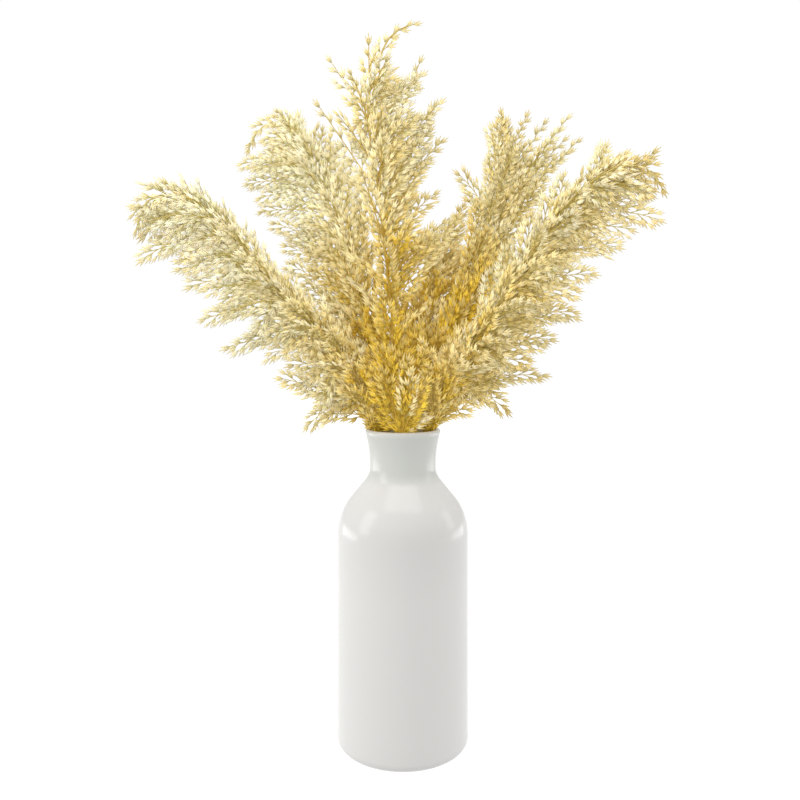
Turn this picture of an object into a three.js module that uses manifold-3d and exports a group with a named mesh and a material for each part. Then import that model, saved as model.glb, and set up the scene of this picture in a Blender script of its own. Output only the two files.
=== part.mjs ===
// A bottle-shaped vase of glazed stoneware with six sprays of pampas grass standing in it.
// Millimetres, +Z up. The origin is the centre of the vase's flat underside and the front faces -Y.
// Each spray is one solid: its stem, the shoots that leave it and the florets on them, fused.
import * as THREE from 'three';
import { mergeVertices } from 'three/addons/utils/BufferGeometryUtils.js';
import Module from 'manifold-3d';

const wasm = await Module();
wasm.setup();

// ---------------------------------------------------------------- the vase
const VASE_HEIGHT = 254;
const BODY_RADIUS = 52.8;
const WALL = 4;
const FLOOR = 5;
const FOOT_CORNER = 7; // radius between the underside and the wall
const SHOULDER_START = 170; // height at which the wall starts to close
const SHOULDER_RADIUS = 44;
const SHOULDER_SLOPE = 40; // degrees between the sloping shoulder and the upright
const WAIST_RADIUS = 26.7; // the narrowest point of the neck, outside
const WAIST_HEIGHT = 224;
const NECK_FILLET = 18.5;
const NECK_FLARE = 105; // radius of the outward curve from the waist to the lip
const LIP_ROUND = WALL / 2;
const VASE_SIDES = 32;

// ---------------------------------------------------------------- the sprays
const GAP = 0.3; // between touching pieces
const CLEAR = 0.6; // between the florets of two sprays
const SHOOT_OWN_ROOM = 0.3; // share of the full room that two shoots of one spray keep
const OWN_ROOM = 0.95; // share of the full room that two florets of one spray keep
const STEM_RADIUS = 2.2;
const STEM_TIP_RADIUS = 0.7;
const STEM_SIDES = 5;
const STEM_STEP = 17; // length of one straight step of a stem
const RIM_HEIGHT = 250; // where the stems lean on the mouth
const RIM_REACH = 23.2; // a stem's distance from the vase's axis there
const FOOT_REACH = 30; // a stem's distance from the axis at its foot
const SPIRAL = 130; // degrees that a foot is turned back from where its stem leaves the mouth
const ROOT_RINGS = 3; // a shoot reaches its full thickness after this many rings
const FEWEST_RINGS = 4;
const SHOOT_SIDES = 3; // each side of a ring carries one floret
const SHOOT_CHECKS = 4; // straight steps in which a shoot is tested against the others
const SHOOT_RADIUS = 2.4;
const SHOOT_TIP_RADIUS = 1.2;
const SHOOT_TWIST = 35; // degrees that each ring of florets is turned from the last
const LEAVE_ANGLE = 27; // degrees between a shoot and the stem it grows from
const FIRST_SHOOT = 0.04; // share of the spray's length above the mouth at which shoots start
const LAST_SHOOT = 0.9; // share of the whole stem at which they end
const TOP_SHOOT = 0.84; // share of the stem's length at which its florets start
const ROOT_STRAIGHTNESS = 0.2; // how much a shoot follows the stem's direction where it leaves
const ROOT_STEP = 0.02; // share of the stem between the roots of two shoots
const TIP_INSET = 0.1; // share of a shoot's length that its last florets reach past its end
const TOP_OVERLAP = 0.01; // how far the bare stem runs into the shoot at its top
const PART_STEP = 0.02; // share of a curve between the points that a part of it is drawn from
const INNER_SHOOTS = 12;
const GOLDEN_ANGLE = 137.5;
const DROOP = 0.1; // share of its length by which a shoot's tip hangs lower
const EDGE_TURNS = [0, 12, -12]; // degrees round the stem, tried until a shoot is clear
const INNER_TURNS = [0, 30, -30, 60, -60, 100, -100, 150];
const FLORET_EVERY = 9.5; // between two rings of florets
const FLORET_LENGTH = 30;
const FLORET_SHARES = [1, 0.7, 0.45]; // the lengths tried until a floret is clear
const FLORETS_SHORTEN = 3; // the last rings of a shoot have shorter florets
const FLORET_RADIUS = 1.6; // room that a floret needs round its middle line
const FLORET_ANGLE = 30;
const MERGE = 0.1; // edges shorter than this are closed up after fusing
const NECK_KEEP_OUT = 37; // below the lip nothing grows nearer to the axis than this
const LIP_KEEP_OUT = VASE_HEIGHT + 3;
const STRAW = '#dccf9f';
const GOLDEN_STRAW = '#cfae62';

// Each route follows a spray from the mouth to its tip; the tips are the ends of the shoots
// that stand out at its edge, and the reach is the length of the others at foot, middle and top.
const SPRAYS = [
  {
    name: 'spray_left_low',
    colour: STRAW,
    leavesMouthAt: 190,
    seed: 11,
    reach: [42, 48, 34],
    route: [
      [-31, -11, 285], [-48, -19, 315], [-71, -28, 342], [-104, -37, 376], [-133, -48, 413],
      [-152, -54, 428], [-172, -58, 435], [-189, -61, 430], [-196, -63, 412],
    ],
    tips: [
      [-201, -60, 427], [-193, -60, 381], [-174, -55, 379], [-164, -50, 366], [-150, -45, 343],
      [-131, -40, 323], [-95, -25, 293], [-74, -18, 279], [-79, -15, 256], [-178, -56, 446],
    ],
  },
  {
    name: 'spray_left_high',
    colour: STRAW,
    leavesMouthAt: 140,
    seed: 23,
    reach: [45, 62, 36],
    route: [
      [-21, 20, 290], [-30, 30, 345], [-46, 45, 403], [-62, 56, 446], [-77, 63, 480],
      [-93, 70, 508], [-112, 76, 521], [-131, 80, 517], [-143, 81, 500],
    ],
    tips: [
      [-151, 80, 466], [-148, 78, 485], [-117, 74, 527], [-94, 70, 526], [-131, 75, 451],
      [-129, 70, 437], [-111, 60, 419], [-95, 50, 399], [-64, 65, 494],
    ],
  },
  {
    name: 'spray_centre',
    colour: GOLDEN_STRAW,
    leavesMouthAt: 268,
    seed: 37,
    reach: [38, 60, 30],
    route: [
      [-4, -28, 295], [-9, -28, 350], [-15, -26, 405], [-21, -24, 456], [-26, -22, 487],
      [-27, -20, 518], [-20, -19, 542], [-13, -18, 562], [-4, -18, 571], [6, -18, 575],
    ],
    tips: [
      [-55, -20, 543], [-64, -22, 507], [-27, -20, 556], [17, -18, 540], [27, -20, 520],
      [23, -22, 496], [33, -20, 487], [28, -15, 447], [46, -12, 428],
    ],
  },
  {
    name: 'spray_right_high',
    colour: STRAW,
    leavesMouthAt: 38,
    seed: 41,
    reach: [40, 58, 32],
    route: [
      [25, 22, 290], [42, 38, 334], [61, 52, 376], [77, 62, 413], [90, 70, 444], [97, 76, 473],
      [95, 80, 501], [91, 83, 526],
    ],
    tips: [
      [73, 76, 516], [110, 80, 524], [125, 75, 515], [145, 70, 520], [153, 68, 499],
      [124, 60, 459], [72, 72, 490], [46, 60, 474], [59, 55, 443],
    ],
  },
  {
    name: 'spray_right_low',
    colour: STRAW,
    leavesMouthAt: -12,
    seed: 53,
    reach: [40, 50, 34],
    route: [
      [32, -13, 286], [53, -22, 321], [78, -31, 359], [107, -41, 405], [126, -47, 431],
      [145, -52, 448], [164, -56, 455], [181, -60, 450], [190, -62, 433],
    ],
    tips: [
      [155, -45, 475], [168, -48, 469], [184, -55, 462], [191, -58, 412], [167, -52, 395],
      [145, -45, 371], [134, -38, 342], [117, -32, 321], [113, -22, 294], [85, -12, 267],
    ],
  },
  {
    name: 'spray_back',
    colour: GOLDEN_STRAW,
    leavesMouthAt: 85,
    seed: 67,
    reach: [42, 58, 30],
    route: [
      [7, 36, 291], [18, 60, 334], [29, 80, 372], [39, 94, 404], [48, 103, 430], [55, 108, 446],
    ],
    tips: [[25, 85, 416], [71, 90, 402], [-18, 80, 392], [20, 118, 380]],
  },
];

const UP = new THREE.Vector3(0, 1, 0); // the direction in which three.js makes its round shapes
const radians = THREE.MathUtils.degToRad;
const random = THREE.MathUtils.seededRandom;

/** A number between low and high from the seeded generator. */
function between(low, high) {
  return low + (high - low) * random();
}

/** A point at a distance from the axis, at an angle in degrees round it and at a height. */
function polar(reach, angle, height) {
  const turn = radians(angle);
  return new THREE.Vector3(reach * Math.cos(turn), reach * Math.sin(turn), height);
}

/** A closed geometry as a manifold-3d solid. */
function solidFrom(geometry) {
  geometry.deleteAttribute('normal');
  geometry.deleteAttribute('uv');
  const merged = mergeVertices(geometry, 1e-4);
  return new wasm.Manifold(new wasm.Mesh({
    numProp: 3,
    vertProperties: new Float32Array(merged.attributes.position.array),
    triVerts: new Uint32Array(merged.index.array),
  }));
}

/** A manifold-3d solid as a three.js geometry. */
function geometryFrom(solid) {
  const mesh = solid.getMesh();
  const geometry = new THREE.BufferGeometry();
  geometry.setAttribute('position', new THREE.BufferAttribute(mesh.vertProperties, 3));
  geometry.setIndex(new THREE.BufferAttribute(mesh.triVerts, 1));
  geometry.computeVertexNormals();
  return geometry;
}

/** The points of an arc about a centre in the vase's profile, from one angle to another. */
function arc(centreRadius, centreHeight, radius, fromAngle, toAngle, steps) {
  const clockwise = toAngle < fromAngle;
  const curve = new THREE.EllipseCurve(
    centreRadius, centreHeight, radius, radius, radians(fromAngle), radians(toAngle), clockwise,
  );
  return curve.getPoints(steps);
}

/** One side of the vase's wall from the foot corner up to the lip, moved inward by an offset. */
function wallSide(offset, steps) {
  const shoulderCentre = BODY_RADIUS - SHOULDER_RADIUS;
  const filletCentre = WAIST_RADIUS + NECK_FILLET;
  const flareCentre = WAIST_RADIUS + NECK_FLARE;
  const flareHeight = VASE_HEIGHT - LIP_ROUND - WAIST_HEIGHT;
  const flareAngle = THREE.MathUtils.radToDeg(Math.asin(flareHeight / (NECK_FLARE + offset)));
  return [
    ...arc(shoulderCentre, SHOULDER_START, SHOULDER_RADIUS - offset, 0, SHOULDER_SLOPE, steps),
    ...arc(filletCentre, WAIST_HEIGHT, NECK_FILLET + offset, 180 + SHOULDER_SLOPE, 180, steps - 1),
    ...arc(flareCentre, WAIST_HEIGHT, NECK_FLARE + offset, 180, 180 - flareAngle, 2).slice(1),
  ];
}

/** The vase: one turned wall, open at the mouth, with a flat underside. */
function makeVase() {
  const cornerCentre = BODY_RADIUS - FOOT_CORNER;
  const outside = wallSide(0, 4);
  const inside = wallSide(WALL, 3).reverse();
  const lip = outside.at(-1).clone().lerp(inside[0], 0.5);
  const profile = [
    new THREE.Vector2(0, 0),
    ...arc(cornerCentre, FOOT_CORNER, FOOT_CORNER, -90, 0, 3),
    ...outside,
    ...arc(lip.x, lip.y, LIP_ROUND, 0, 180, 4).slice(1, -1),
    ...inside,
    ...arc(cornerCentre, FLOOR + FOOT_CORNER - WALL, FOOT_CORNER - WALL, 0, -90, 2),
    new THREE.Vector2(0, FLOOR),
  ];
  const geometry = new THREE.LatheGeometry(profile, VASE_SIDES);
  geometry.rotateX(Math.PI / 2);
  return geometry;
}

/** A tapered round bar laid along a curve, closed at both ends. */
function taperedBar(curve, startRadius, endRadius, sides, steps) {
  const frames = curve.computeFrenetFrames(steps);
  const bar = new THREE.CylinderGeometry(endRadius, startRadius, 1, sides, steps);
  const position = bar.attributes.position;
  const place = new THREE.Vector3();
  for (let i = 0; i < position.count; i++) {
    const share = position.getY(i) + 0.5;
    const step = Math.round(share * steps);
    curve.getPointAt(step / steps, place);
    place.addScaledVector(frames.binormals[step], position.getX(i));
    place.addScaledVector(frames.normals[step], position.getZ(i));
    position.setXYZ(i, place.x, place.y, place.z);
  }
  return solidFrom(bar);
}

/** A unit direction that leaves a tangent by an angle, towards a turn round that tangent. */
function leaving(tangent, angle, turn) {
  const side = new THREE.Vector3(0, 0, 1).cross(tangent);
  if (side.lengthSq() < 1e-6) side.set(1, 0, 0);
  side.normalize().applyAxisAngle(tangent, radians(turn));
  const axis = new THREE.Vector3().crossVectors(tangent, side).normalize();
  return tangent.clone().applyAxisAngle(axis, radians(angle)).normalize();
}

/** The places that the sprays already fill, as thick line segments. */
class FilledSpace {
  constructor() {
    this.segments = [];
  }

  /** Whether the thick lines through the points stay clear of the vase and of other pieces. */
  isClear(spray, shoot, points, radius, ownRoom) {
    if (points.some((p) => p.z < LIP_KEEP_OUT && Math.hypot(p.x, p.y) < NECK_KEEP_OUT)) return false;
    return points.slice(1).every((end, i) => {
      const line = new THREE.Line3(points[i], end);
      return this.segments.every((other) => {
        if (other.shoot === shoot) return true;
        const full = radius + other.radius;
        const room = other.spray === spray ? full * ownRoom : full + CLEAR;
        return line.distanceSqToLine3(other.line) > room * room;
      });
    });
  }

  /** Takes the thick lines through the points for one shoot, or for the stem, of a spray. */
  take(spray, shoot, points, radius) {
    points.slice(1).forEach((end, i) => {
      this.segments.push({ spray, shoot, radius, line: new THREE.Line3(points[i], end) });
    });
  }
}

/** The curve of a spray's stem, from the vase's floor over the mouth to the tip. */
function stemCurve(spray) {
  const foot = polar(FOOT_REACH, spray.leavesMouthAt + SPIRAL, FLOOR + GAP);
  const mouth = polar(RIM_REACH, spray.leavesMouthAt, RIM_HEIGHT);
  const lean = mouth.clone().sub(foot).normalize();
  foot.z += STEM_RADIUS * Math.hypot(lean.x, lean.y); // the cut end's low edge clears the floor
  const half = foot.clone().lerp(mouth, 0.5);
  const route = spray.route.map((point) => new THREE.Vector3(...point));
  return new THREE.CatmullRomCurve3([foot, half, mouth, ...route], false, 'centripetal');
}

/** The part of a curve between two shares of its length. */
function part(curve, from, to) {
  const count = Math.ceil((to - from) / PART_STEP);
  const points = Array.from({ length: count + 1 }, (_, i) => (
    curve.getPointAt(THREE.MathUtils.lerp(from, to, i / count))
  ));
  return new THREE.CatmullRomCurve3(points);
}

/** The curve of a shoot from a share of the stem's length to a tip. */
function shootCurve(stem, share, tip) {
  const root = stem.getPointAt(share);
  const tangent = stem.getTangentAt(share);
  const length = root.distanceTo(tip);
  const straight = tip.clone().sub(root).normalize();
  const start = tangent.multiplyScalar(ROOT_STRAIGHTNESS).add(straight).normalize();
  const bend = root.clone().addScaledVector(start, length * 0.5);
  return new THREE.QuadraticBezierCurve3(root, bend, tip);
}

/** The free share of the stem at which a line to the tip leaves at nearly the usual angle. */
function rootShare(spray, tip) {
  let best = spray.firstShare;
  let least = Infinity;
  for (let share = spray.firstShare; share < LAST_SHOOT; share += ROOT_STEP) {
    const toTip = tip.clone().sub(spray.stem.getPointAt(share));
    const angle = toTip.angleTo(spray.stem.getTangentAt(share));
    const crowding = spray.roots.filter((root) => Math.abs(root - share) < ROOT_STEP).length;
    const off = Math.abs(angle - radians(LEAVE_ANGLE)) + crowding;
    if (off < least) {
      least = off;
      best = share;
    }
  }
  spray.roots.push(best);
  return best;
}

/** Adds a shoot to a spray when some turn of it round the stem is clear of the others. */
function addShoot(space, spray, share, tip, turns) {
  const root = spray.stem.getPointAt(share);
  const tangent = spray.stem.getTangentAt(share);
  for (const turn of turns) {
    const turned = tip.clone().sub(root).applyAxisAngle(tangent, radians(turn)).add(root);
    const curve = shootCurve(spray.stem, share, turned);
    const points = curve.getPoints(SHOOT_CHECKS);
    if (space.isClear(spray, curve, points.slice(1), SHOOT_RADIUS, SHOOT_OWN_ROOM)) {
      space.take(spray, curve, points, SHOOT_RADIUS);
      spray.shoots.push(curve);
      return;
    }
  }
}

/** The top of the stem, which carries florets as the shoots do. */
function addTopShoot(space, spray) {
  const top = part(spray.stem, TOP_SHOOT, 1);
  space.take(spray, top, top.getPoints(SHOOT_CHECKS), SHOOT_RADIUS);
  spray.shoots.push(top);
}

/** The shoots whose tips are given, which draw the spray's edge. */
function growEdgeShoots(space, spray) {
  for (const point of spray.tips) {
    const tip = new THREE.Vector3(...point);
    const share = rootShare(spray, tip);
    tip.lerp(spray.stem.getPointAt(share), TIP_INSET);
    addShoot(space, spray, share, tip, EDGE_TURNS);
  }
}

/** The shoots between them, set round the stem by the golden angle. */
function growInnerShoots(space, spray) {
  random(spray.seed);
  const [foot, middle, top] = spray.reach;
  for (let i = 0; i < INNER_SHOOTS; i++) {
    const along = (i + 0.5) / INNER_SHOOTS;
    const share = THREE.MathUtils.lerp(spray.firstShare, LAST_SHOOT, along);
    const reach = along < 0.5
      ? THREE.MathUtils.lerp(foot, middle, along * 2)
      : THREE.MathUtils.lerp(middle, top, along * 2 - 1);
    const turn = i * GOLDEN_ANGLE + between(-15, 15);
    const angle = LEAVE_ANGLE + between(-3, 7);
    const direction = leaving(spray.stem.getTangentAt(share), angle, turn);
    const length = reach * between(0.85, 1.15);
    const tip = spray.stem.getPointAt(share).addScaledVector(direction, length);
    tip.z -= DROOP * length;
    addShoot(space, spray, share, tip, INNER_TURNS);
  }
}

/** The tip of a floret on a face of a shoot, shortened until it is clear of the other pieces. */
function floretTip(space, spray, shoot, face, axisPoint, tangent, length) {
  const middle = face.reduce((sum, corner) => sum.add(corner), new THREE.Vector3());
  middle.divideScalar(face.length);
  const outward = middle.clone().sub(axisPoint);
  outward.addScaledVector(tangent, -outward.dot(tangent)).normalize();
  const angle = radians(FLORET_ANGLE + between(-3, 3));
  const direction = tangent.clone().multiplyScalar(Math.cos(angle));
  direction.addScaledVector(outward, Math.sin(angle));
  for (const share of FLORET_SHARES) {
    const tip = middle.clone().addScaledVector(direction, share * length);
    if (space.isClear(spray, shoot, [middle, tip], FLORET_RADIUS, OWN_ROOM)) {
      space.take(spray, shoot, [middle, tip], FLORET_RADIUS);
      return tip;
    }
  }
  return middle;
}

/** The corners of each ring of a shoot, which thins to both ends and twists along its length. */
function ringCorners(axis, frames, rings) {
  return axis.slice(0, -1).map((point, i) => {
    const fullness = Math.min(1, (i + 1) / ROOT_RINGS);
    const radius = fullness * THREE.MathUtils.lerp(SHOOT_RADIUS, SHOOT_TIP_RADIUS, i / rings);
    return Array.from({ length: SHOOT_SIDES }, (_, k) => {
      const turn = radians(i * SHOOT_TWIST + (k * 360) / SHOOT_SIDES);
      return point.clone()
        .addScaledVector(frames.normals[i], radius * Math.cos(turn))
        .addScaledVector(frames.binormals[i], radius * Math.sin(turn));
    });
  });
}

/** A shoot and its florets: a three-sided bar with a floret drawn out of each of its faces. */
function makeShoot(space, spray, shoot) {
  const rings = Math.max(FEWEST_RINGS, Math.round(shoot.getLength() / FLORET_EVERY));
  const frames = shoot.computeFrenetFrames(rings);
  const axis = shoot.getSpacedPoints(rings);
  const corners = ringCorners(axis, frames, rings);
  const triangles = [corners[0].toReversed()];
  corners.forEach((ring, i) => {
    ring.forEach((corner, k) => {
      const next = (k + 1) % SHOOT_SIDES;
      if (i + 1 === corners.length) {
        triangles.push([corner, ring[next], axis.at(-1)]);
        return;
      }
      const above = corners[i + 1];
      const face = [corner, ring[next], above[next], above[k]];
      if (i === 0) {
        triangles.push([face[0], face[1], face[2]], [face[2], face[3], face[0]]);
        return;
      }
      const fromEnd = Math.min(1, (rings - i) / FLORETS_SHORTEN);
      const length = FLORET_LENGTH * fromEnd * between(0.85, 1.1);
      const tip = floretTip(space, spray, shoot, face, axis[i], frames.tangents[i], length);
      face.forEach((from, side) => triangles.push([from, face[(side + 1) % face.length], tip]));
    });
  });
  const geometry = new THREE.BufferGeometry().setFromPoints(triangles.flat());
  return solidFrom(geometry);
}

/** The largest body of the fused pieces, without loose scraps and sealed hollows. */
function fuse(solids) {
  const bodies = wasm.Manifold.union(solids).simplify(MERGE).decompose();
  bodies.sort((a, b) => b.volume() - a.volume());
  return bodies[0];
}

/** Grows all the sprays together, so that each keeps clear of the others. */
function growSprays() {
  const space = new FilledSpace();
  const sprays = SPRAYS.map((spray) => {
    const stem = stemCurve(spray);
    const bare = part(stem, 0, TOP_SHOOT + TOP_OVERLAP);
    const steps = Math.round(bare.getLength() / STEM_STEP);
    const bar = taperedBar(bare, STEM_RADIUS, STEM_TIP_RADIUS, STEM_SIDES, steps);
    const aboveMouth = 1 - RIM_HEIGHT / stem.getLength();
    const firstShare = 1 - aboveMouth * (1 - FIRST_SHOOT);
    const grown = { ...spray, stem, firstShare, roots: [], shoots: [], solids: [bar] };
    space.take(grown, grown, bare.getPoints(steps), STEM_RADIUS);
    return grown;
  });
  sprays.forEach((spray) => addTopShoot(space, spray));
  sprays.forEach((spray) => growEdgeShoots(space, spray));
  sprays.forEach((spray) => growInnerShoots(space, spray));
  for (const spray of sprays) {
    for (const shoot of spray.shoots) {
      spray.solids.push(makeShoot(space, spray, shoot));
    }
  }
  return sprays;
}

const vaseGlaze = new THREE.MeshStandardMaterial({ color: '#f1f2ee', roughness: 0.15, metalness: 0 });
const vase = new THREE.Mesh(makeVase(), vaseGlaze);
vase.name = 'vase';

const pampasVase = new THREE.Group();
pampasVase.add(vase);
for (const spray of growSprays()) {
  const material = new THREE.MeshStandardMaterial({ color: spray.colour, roughness: 0.8, metalness: 0 });
  const mesh = new THREE.Mesh(geometryFrom(fuse(spray.solids)), material);
  mesh.name = spray.name;
  pampasVase.add(mesh);
}

export default pampasVase;
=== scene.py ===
"""A bottle-shaped stoneware vase with six sprays of pampas grass, dressed for its looks.

Everything is in metres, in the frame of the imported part: +Z up, the origin at the centre of the
vase's underside, the front facing -Y. The vase and every spray stand in for a solid of the part.
"""

import logging
import math
from dataclasses import dataclass, field
from enum import Enum
from typing import Callable, Iterable, Sequence

import bpy
import numpy as np
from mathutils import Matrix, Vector

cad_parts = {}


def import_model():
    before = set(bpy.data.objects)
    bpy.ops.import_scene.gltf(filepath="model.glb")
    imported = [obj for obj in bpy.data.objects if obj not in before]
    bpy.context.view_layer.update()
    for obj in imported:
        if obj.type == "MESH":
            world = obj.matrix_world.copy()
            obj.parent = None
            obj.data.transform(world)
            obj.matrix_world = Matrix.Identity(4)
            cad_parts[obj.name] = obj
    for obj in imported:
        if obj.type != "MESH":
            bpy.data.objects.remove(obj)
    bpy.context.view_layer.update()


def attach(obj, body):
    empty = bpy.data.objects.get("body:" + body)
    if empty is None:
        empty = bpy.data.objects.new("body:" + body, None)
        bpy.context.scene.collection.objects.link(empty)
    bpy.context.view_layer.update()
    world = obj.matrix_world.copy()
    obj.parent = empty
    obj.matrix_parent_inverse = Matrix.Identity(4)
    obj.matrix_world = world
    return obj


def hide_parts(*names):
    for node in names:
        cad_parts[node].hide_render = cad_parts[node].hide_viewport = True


LOG = logging.getLogger("pampas_vase")
MM = 0.001
BODY = "root"
Point = tuple[float, float, float]
Pair = tuple[float, float]
Stops = Sequence[tuple[float, str]]
Inputs = dict[str | int, object]
FRONT: Point = (0.0, -1.0, 0.0)
FACTOR, COLOUR_A, COLOUR_B, MIXED = 0, 6, 7, 2  # the sockets of a Mix node between colours
NUMBER_A, NUMBER_B = 2, 3  # and between plain numbers


# --------------------------------------------------------------------------- small tools


def linear(hex_colour: str) -> tuple[float, float, float, float]:
    """Turns an sRGB hex colour into the linear colour that materials take.

    Args:
        hex_colour: Six hex digits after a #.

    Returns:
        Red, green, blue and alpha as linear values.
    """
    digits = hex_colour.lstrip("#")
    channels = [int(digits[i : i + 2], 16) / 255 for i in (0, 2, 4)]
    flat = [c / 12.92 if c <= 0.04045 else ((c + 0.055) / 1.055) ** 2.4 for c in channels]
    return flat[0], flat[1], flat[2], 1.0


def feed(tree: bpy.types.NodeTree, node: bpy.types.Node, inputs: Inputs) -> None:
    """Sets a node's constants and joins sockets to its inputs.

    Args:
        tree: The node tree that the node is in.
        node: The node.
        inputs: A constant or a socket for each input, by the input's name or index.
    """
    for name, value in inputs.items():
        if isinstance(value, bpy.types.NodeSocket):
            tree.links.new(value, node.inputs[name])
        else:
            node.inputs[name].default_value = value


def add_node(
    tree: bpy.types.NodeTree,
    kind: str,
    inputs: Inputs | None = None,
    output: str | int = 0,
    stops: Stops = (),
    **settings: object,
) -> bpy.types.NodeSocket:
    """Adds a shader node with its settings, its constant values and its incoming links.

    Args:
        tree: The node tree to add to.
        kind: The node's type name, without the common start of such names.
        inputs: A constant or a socket for each input, by the input's name or index.
        output: The output that is wanted of it, by name or index.
        stops: Places from 0 to 1 and sRGB hex colours, in order, for a node with a ramp.
        **settings: Properties of the node itself.

    Returns:
        The wanted output.
    """
    node = tree.nodes.new("ShaderNode" + kind)
    for name, setting in settings.items():
        setattr(node, name, setting)
    feed(tree, node, inputs or {})
    for _ in stops[2:]:
        node.color_ramp.elements.new(1.0)
    for i, (place, colour) in enumerate(stops):
        element = node.color_ramp.elements[i]
        element.position, element.color = place, linear(colour)
    return node.outputs[output]


def deselect() -> None:
    """Leaves nothing selected, so that the next operator acts on its own piece alone."""
    if bpy.context.object and bpy.context.object.mode != "OBJECT":
        bpy.ops.object.mode_set(mode="OBJECT")
    bpy.ops.object.select_all(action="DESELECT")


def select_faces(piece: bpy.types.Object, wanted: Callable[[bpy.types.MeshPolygon], bool]) -> None:
    """Selects only the faces that a test picks, and leaves the piece in edit mode.

    Args:
        piece: The active piece.
        wanted: Tells of a face whether it is picked.
    """
    bpy.ops.object.mode_set(mode="EDIT")
    bpy.ops.mesh.select_mode(type="FACE")
    bpy.ops.mesh.select_all(action="DESELECT")
    bpy.ops.object.mode_set(mode="OBJECT")
    for face in piece.data.polygons:
        face.select = wanted(face)
    bpy.ops.object.mode_set(mode="EDIT")


def select_only(*pieces: bpy.types.Object) -> None:
    """Selects some pieces alone and makes the first of them the active one.

    Args:
        *pieces: The pieces.
    """
    deselect()
    for piece in pieces:
        piece.select_set(True)
    bpy.context.view_layer.objects.active = pieces[0]


def join(pieces: Sequence[bpy.types.Object]) -> bpy.types.Object:
    """Joins pieces into the first of them.

    Args:
        pieces: The pieces.

    Returns:
        The joined piece.
    """
    select_only(*pieces)
    bpy.ops.object.join()
    return bpy.context.object


def turn_selected(axis: str, degrees: float) -> None:
    """Turns what is selected about the origin.

    Args:
        axis: The axis of the turn, as a capital letter.
        degrees: The angle.
    """
    bpy.ops.transform.rotate(
        value=math.radians(degrees), orient_axis=axis, center_override=(0, 0, 0)
    )


def unit(vectors: np.ndarray) -> np.ndarray:
    """Scales vectors to length one along their last axis."""
    return vectors / np.maximum(np.linalg.norm(vectors, axis=-1, keepdims=True), 1e-12)


def turned(vector: np.ndarray, axis: np.ndarray, degrees: float) -> np.ndarray:
    """Turns a vector about a unit axis.

    Args:
        vector: The vector to turn.
        axis: The unit axis.
        degrees: The angle, by the right-hand rule.

    Returns:
        The turned vector.
    """
    angle = math.radians(degrees)
    along = axis * float(np.dot(axis, vector))
    across = np.cross(axis, vector)
    return along + (vector - along) * math.cos(angle) + across * math.sin(angle)


def leaving(tangent: np.ndarray, degrees: float, turn: float) -> np.ndarray:
    """A unit direction that leaves a tangent by an angle, towards a turn round that tangent.

    Args:
        tangent: The unit direction of the stalk that is left.
        degrees: The angle between the stalk and the new direction.
        turn: Degrees round the stalk, from the upward side.

    Returns:
        The new direction.
    """
    side = np.cross((0.0, 0.0, 1.0), tangent)
    if np.linalg.norm(side) < 1e-6:
        side = np.array((1.0, 0.0, 0.0))
    side = turned(unit(side), tangent, turn)
    return turned(tangent, unit(np.cross(tangent, side)), degrees)


# --------------------------------------------------------------------------- finishes


@dataclass(frozen=True)
class Finish:
    """A material made of one principled shader, which each kind of finish feeds its own way."""

    name: str

    def build(self) -> bpy.types.Material:
        """Makes the material.

        Returns:
            The material, ready to be put on a piece.
        """
        material = bpy.data.materials.new(self.name)
        material.use_nodes = True
        tree = material.node_tree
        feed(tree, tree.nodes["Principled BSDF"], self.inputs(tree))
        return material

    def inputs(self, tree: bpy.types.NodeTree) -> Inputs:
        """What the shader is fed with."""
        raise NotImplementedError


@dataclass(frozen=True)
class GlazedStoneware(Finish):
    """Stoneware dipped in a white glaze and fired: a thick glassy coat over a pale body."""

    name: str = "glazed_stoneware"
    height_mm: float = 254.0
    # the glaze's colour by height: painted shade below the shoulder and on the neck, and a painted
    # highlight on the lip
    coat: Stops = (
        (0.0, "#E4E3E0"),
        (125.0, "#E4E3E0"),
        (176.0, "#DFDEDB"),  # painted shade: a touch darker just below the shoulder
        (194.0, "#DFDEDB"),
        (211.0, "#E4E3E0"),
        (219.0, "#D6D8D2"),  # painted shade: a shade greyer on the neck, under the plumes
        (249.0, "#D6D8D2"),
        (254.0, "#E2E1DC"),  # painted highlight: paler again on the lip
    )
    wave_mm: float = 34.0  # the slow unevenness of a dipped coat
    wave_depth_mm: float = 0.16
    roughness: float = 0.2
    ior: float = 1.52

    def inputs(self, tree: bpy.types.NodeTree) -> Inputs:
        """A glassy coat whose colour goes by height, with painted shade and a painted lip
        highlight, and whose waves bend its reflections.

        Args:
            tree: The material's node tree.

        Returns:
            What the shader is fed with.
        """
        place = add_node(tree, "TexCoord", output="Object")
        waves = {"Scale": 1 / (self.wave_mm * MM), "Detail": 1.5, "Roughness": 0.4}
        wave = add_node(tree, "TexNoise", {"Vector": place, **waves})
        bumps = {"Height": wave, "Strength": 1.0, "Distance": self.wave_depth_mm * MM}
        height = add_node(tree, "SeparateXYZ", {"Vector": place}, "Z")
        level = add_node(tree, "MapRange", {"Value": height, "From Max": self.height_mm * MM})
        # this height ramp carries the painted shade and the painted lip highlight
        stops = [(height_mm / self.height_mm, colour) for height_mm, colour in self.coat]
        return {
            "Base Color": add_node(tree, "ValToRGB", {"Fac": level}, stops=stops),
            "Normal": add_node(tree, "Bump", bumps),
            "Roughness": self.roughness,
            "IOR": self.ior,
        }


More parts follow.
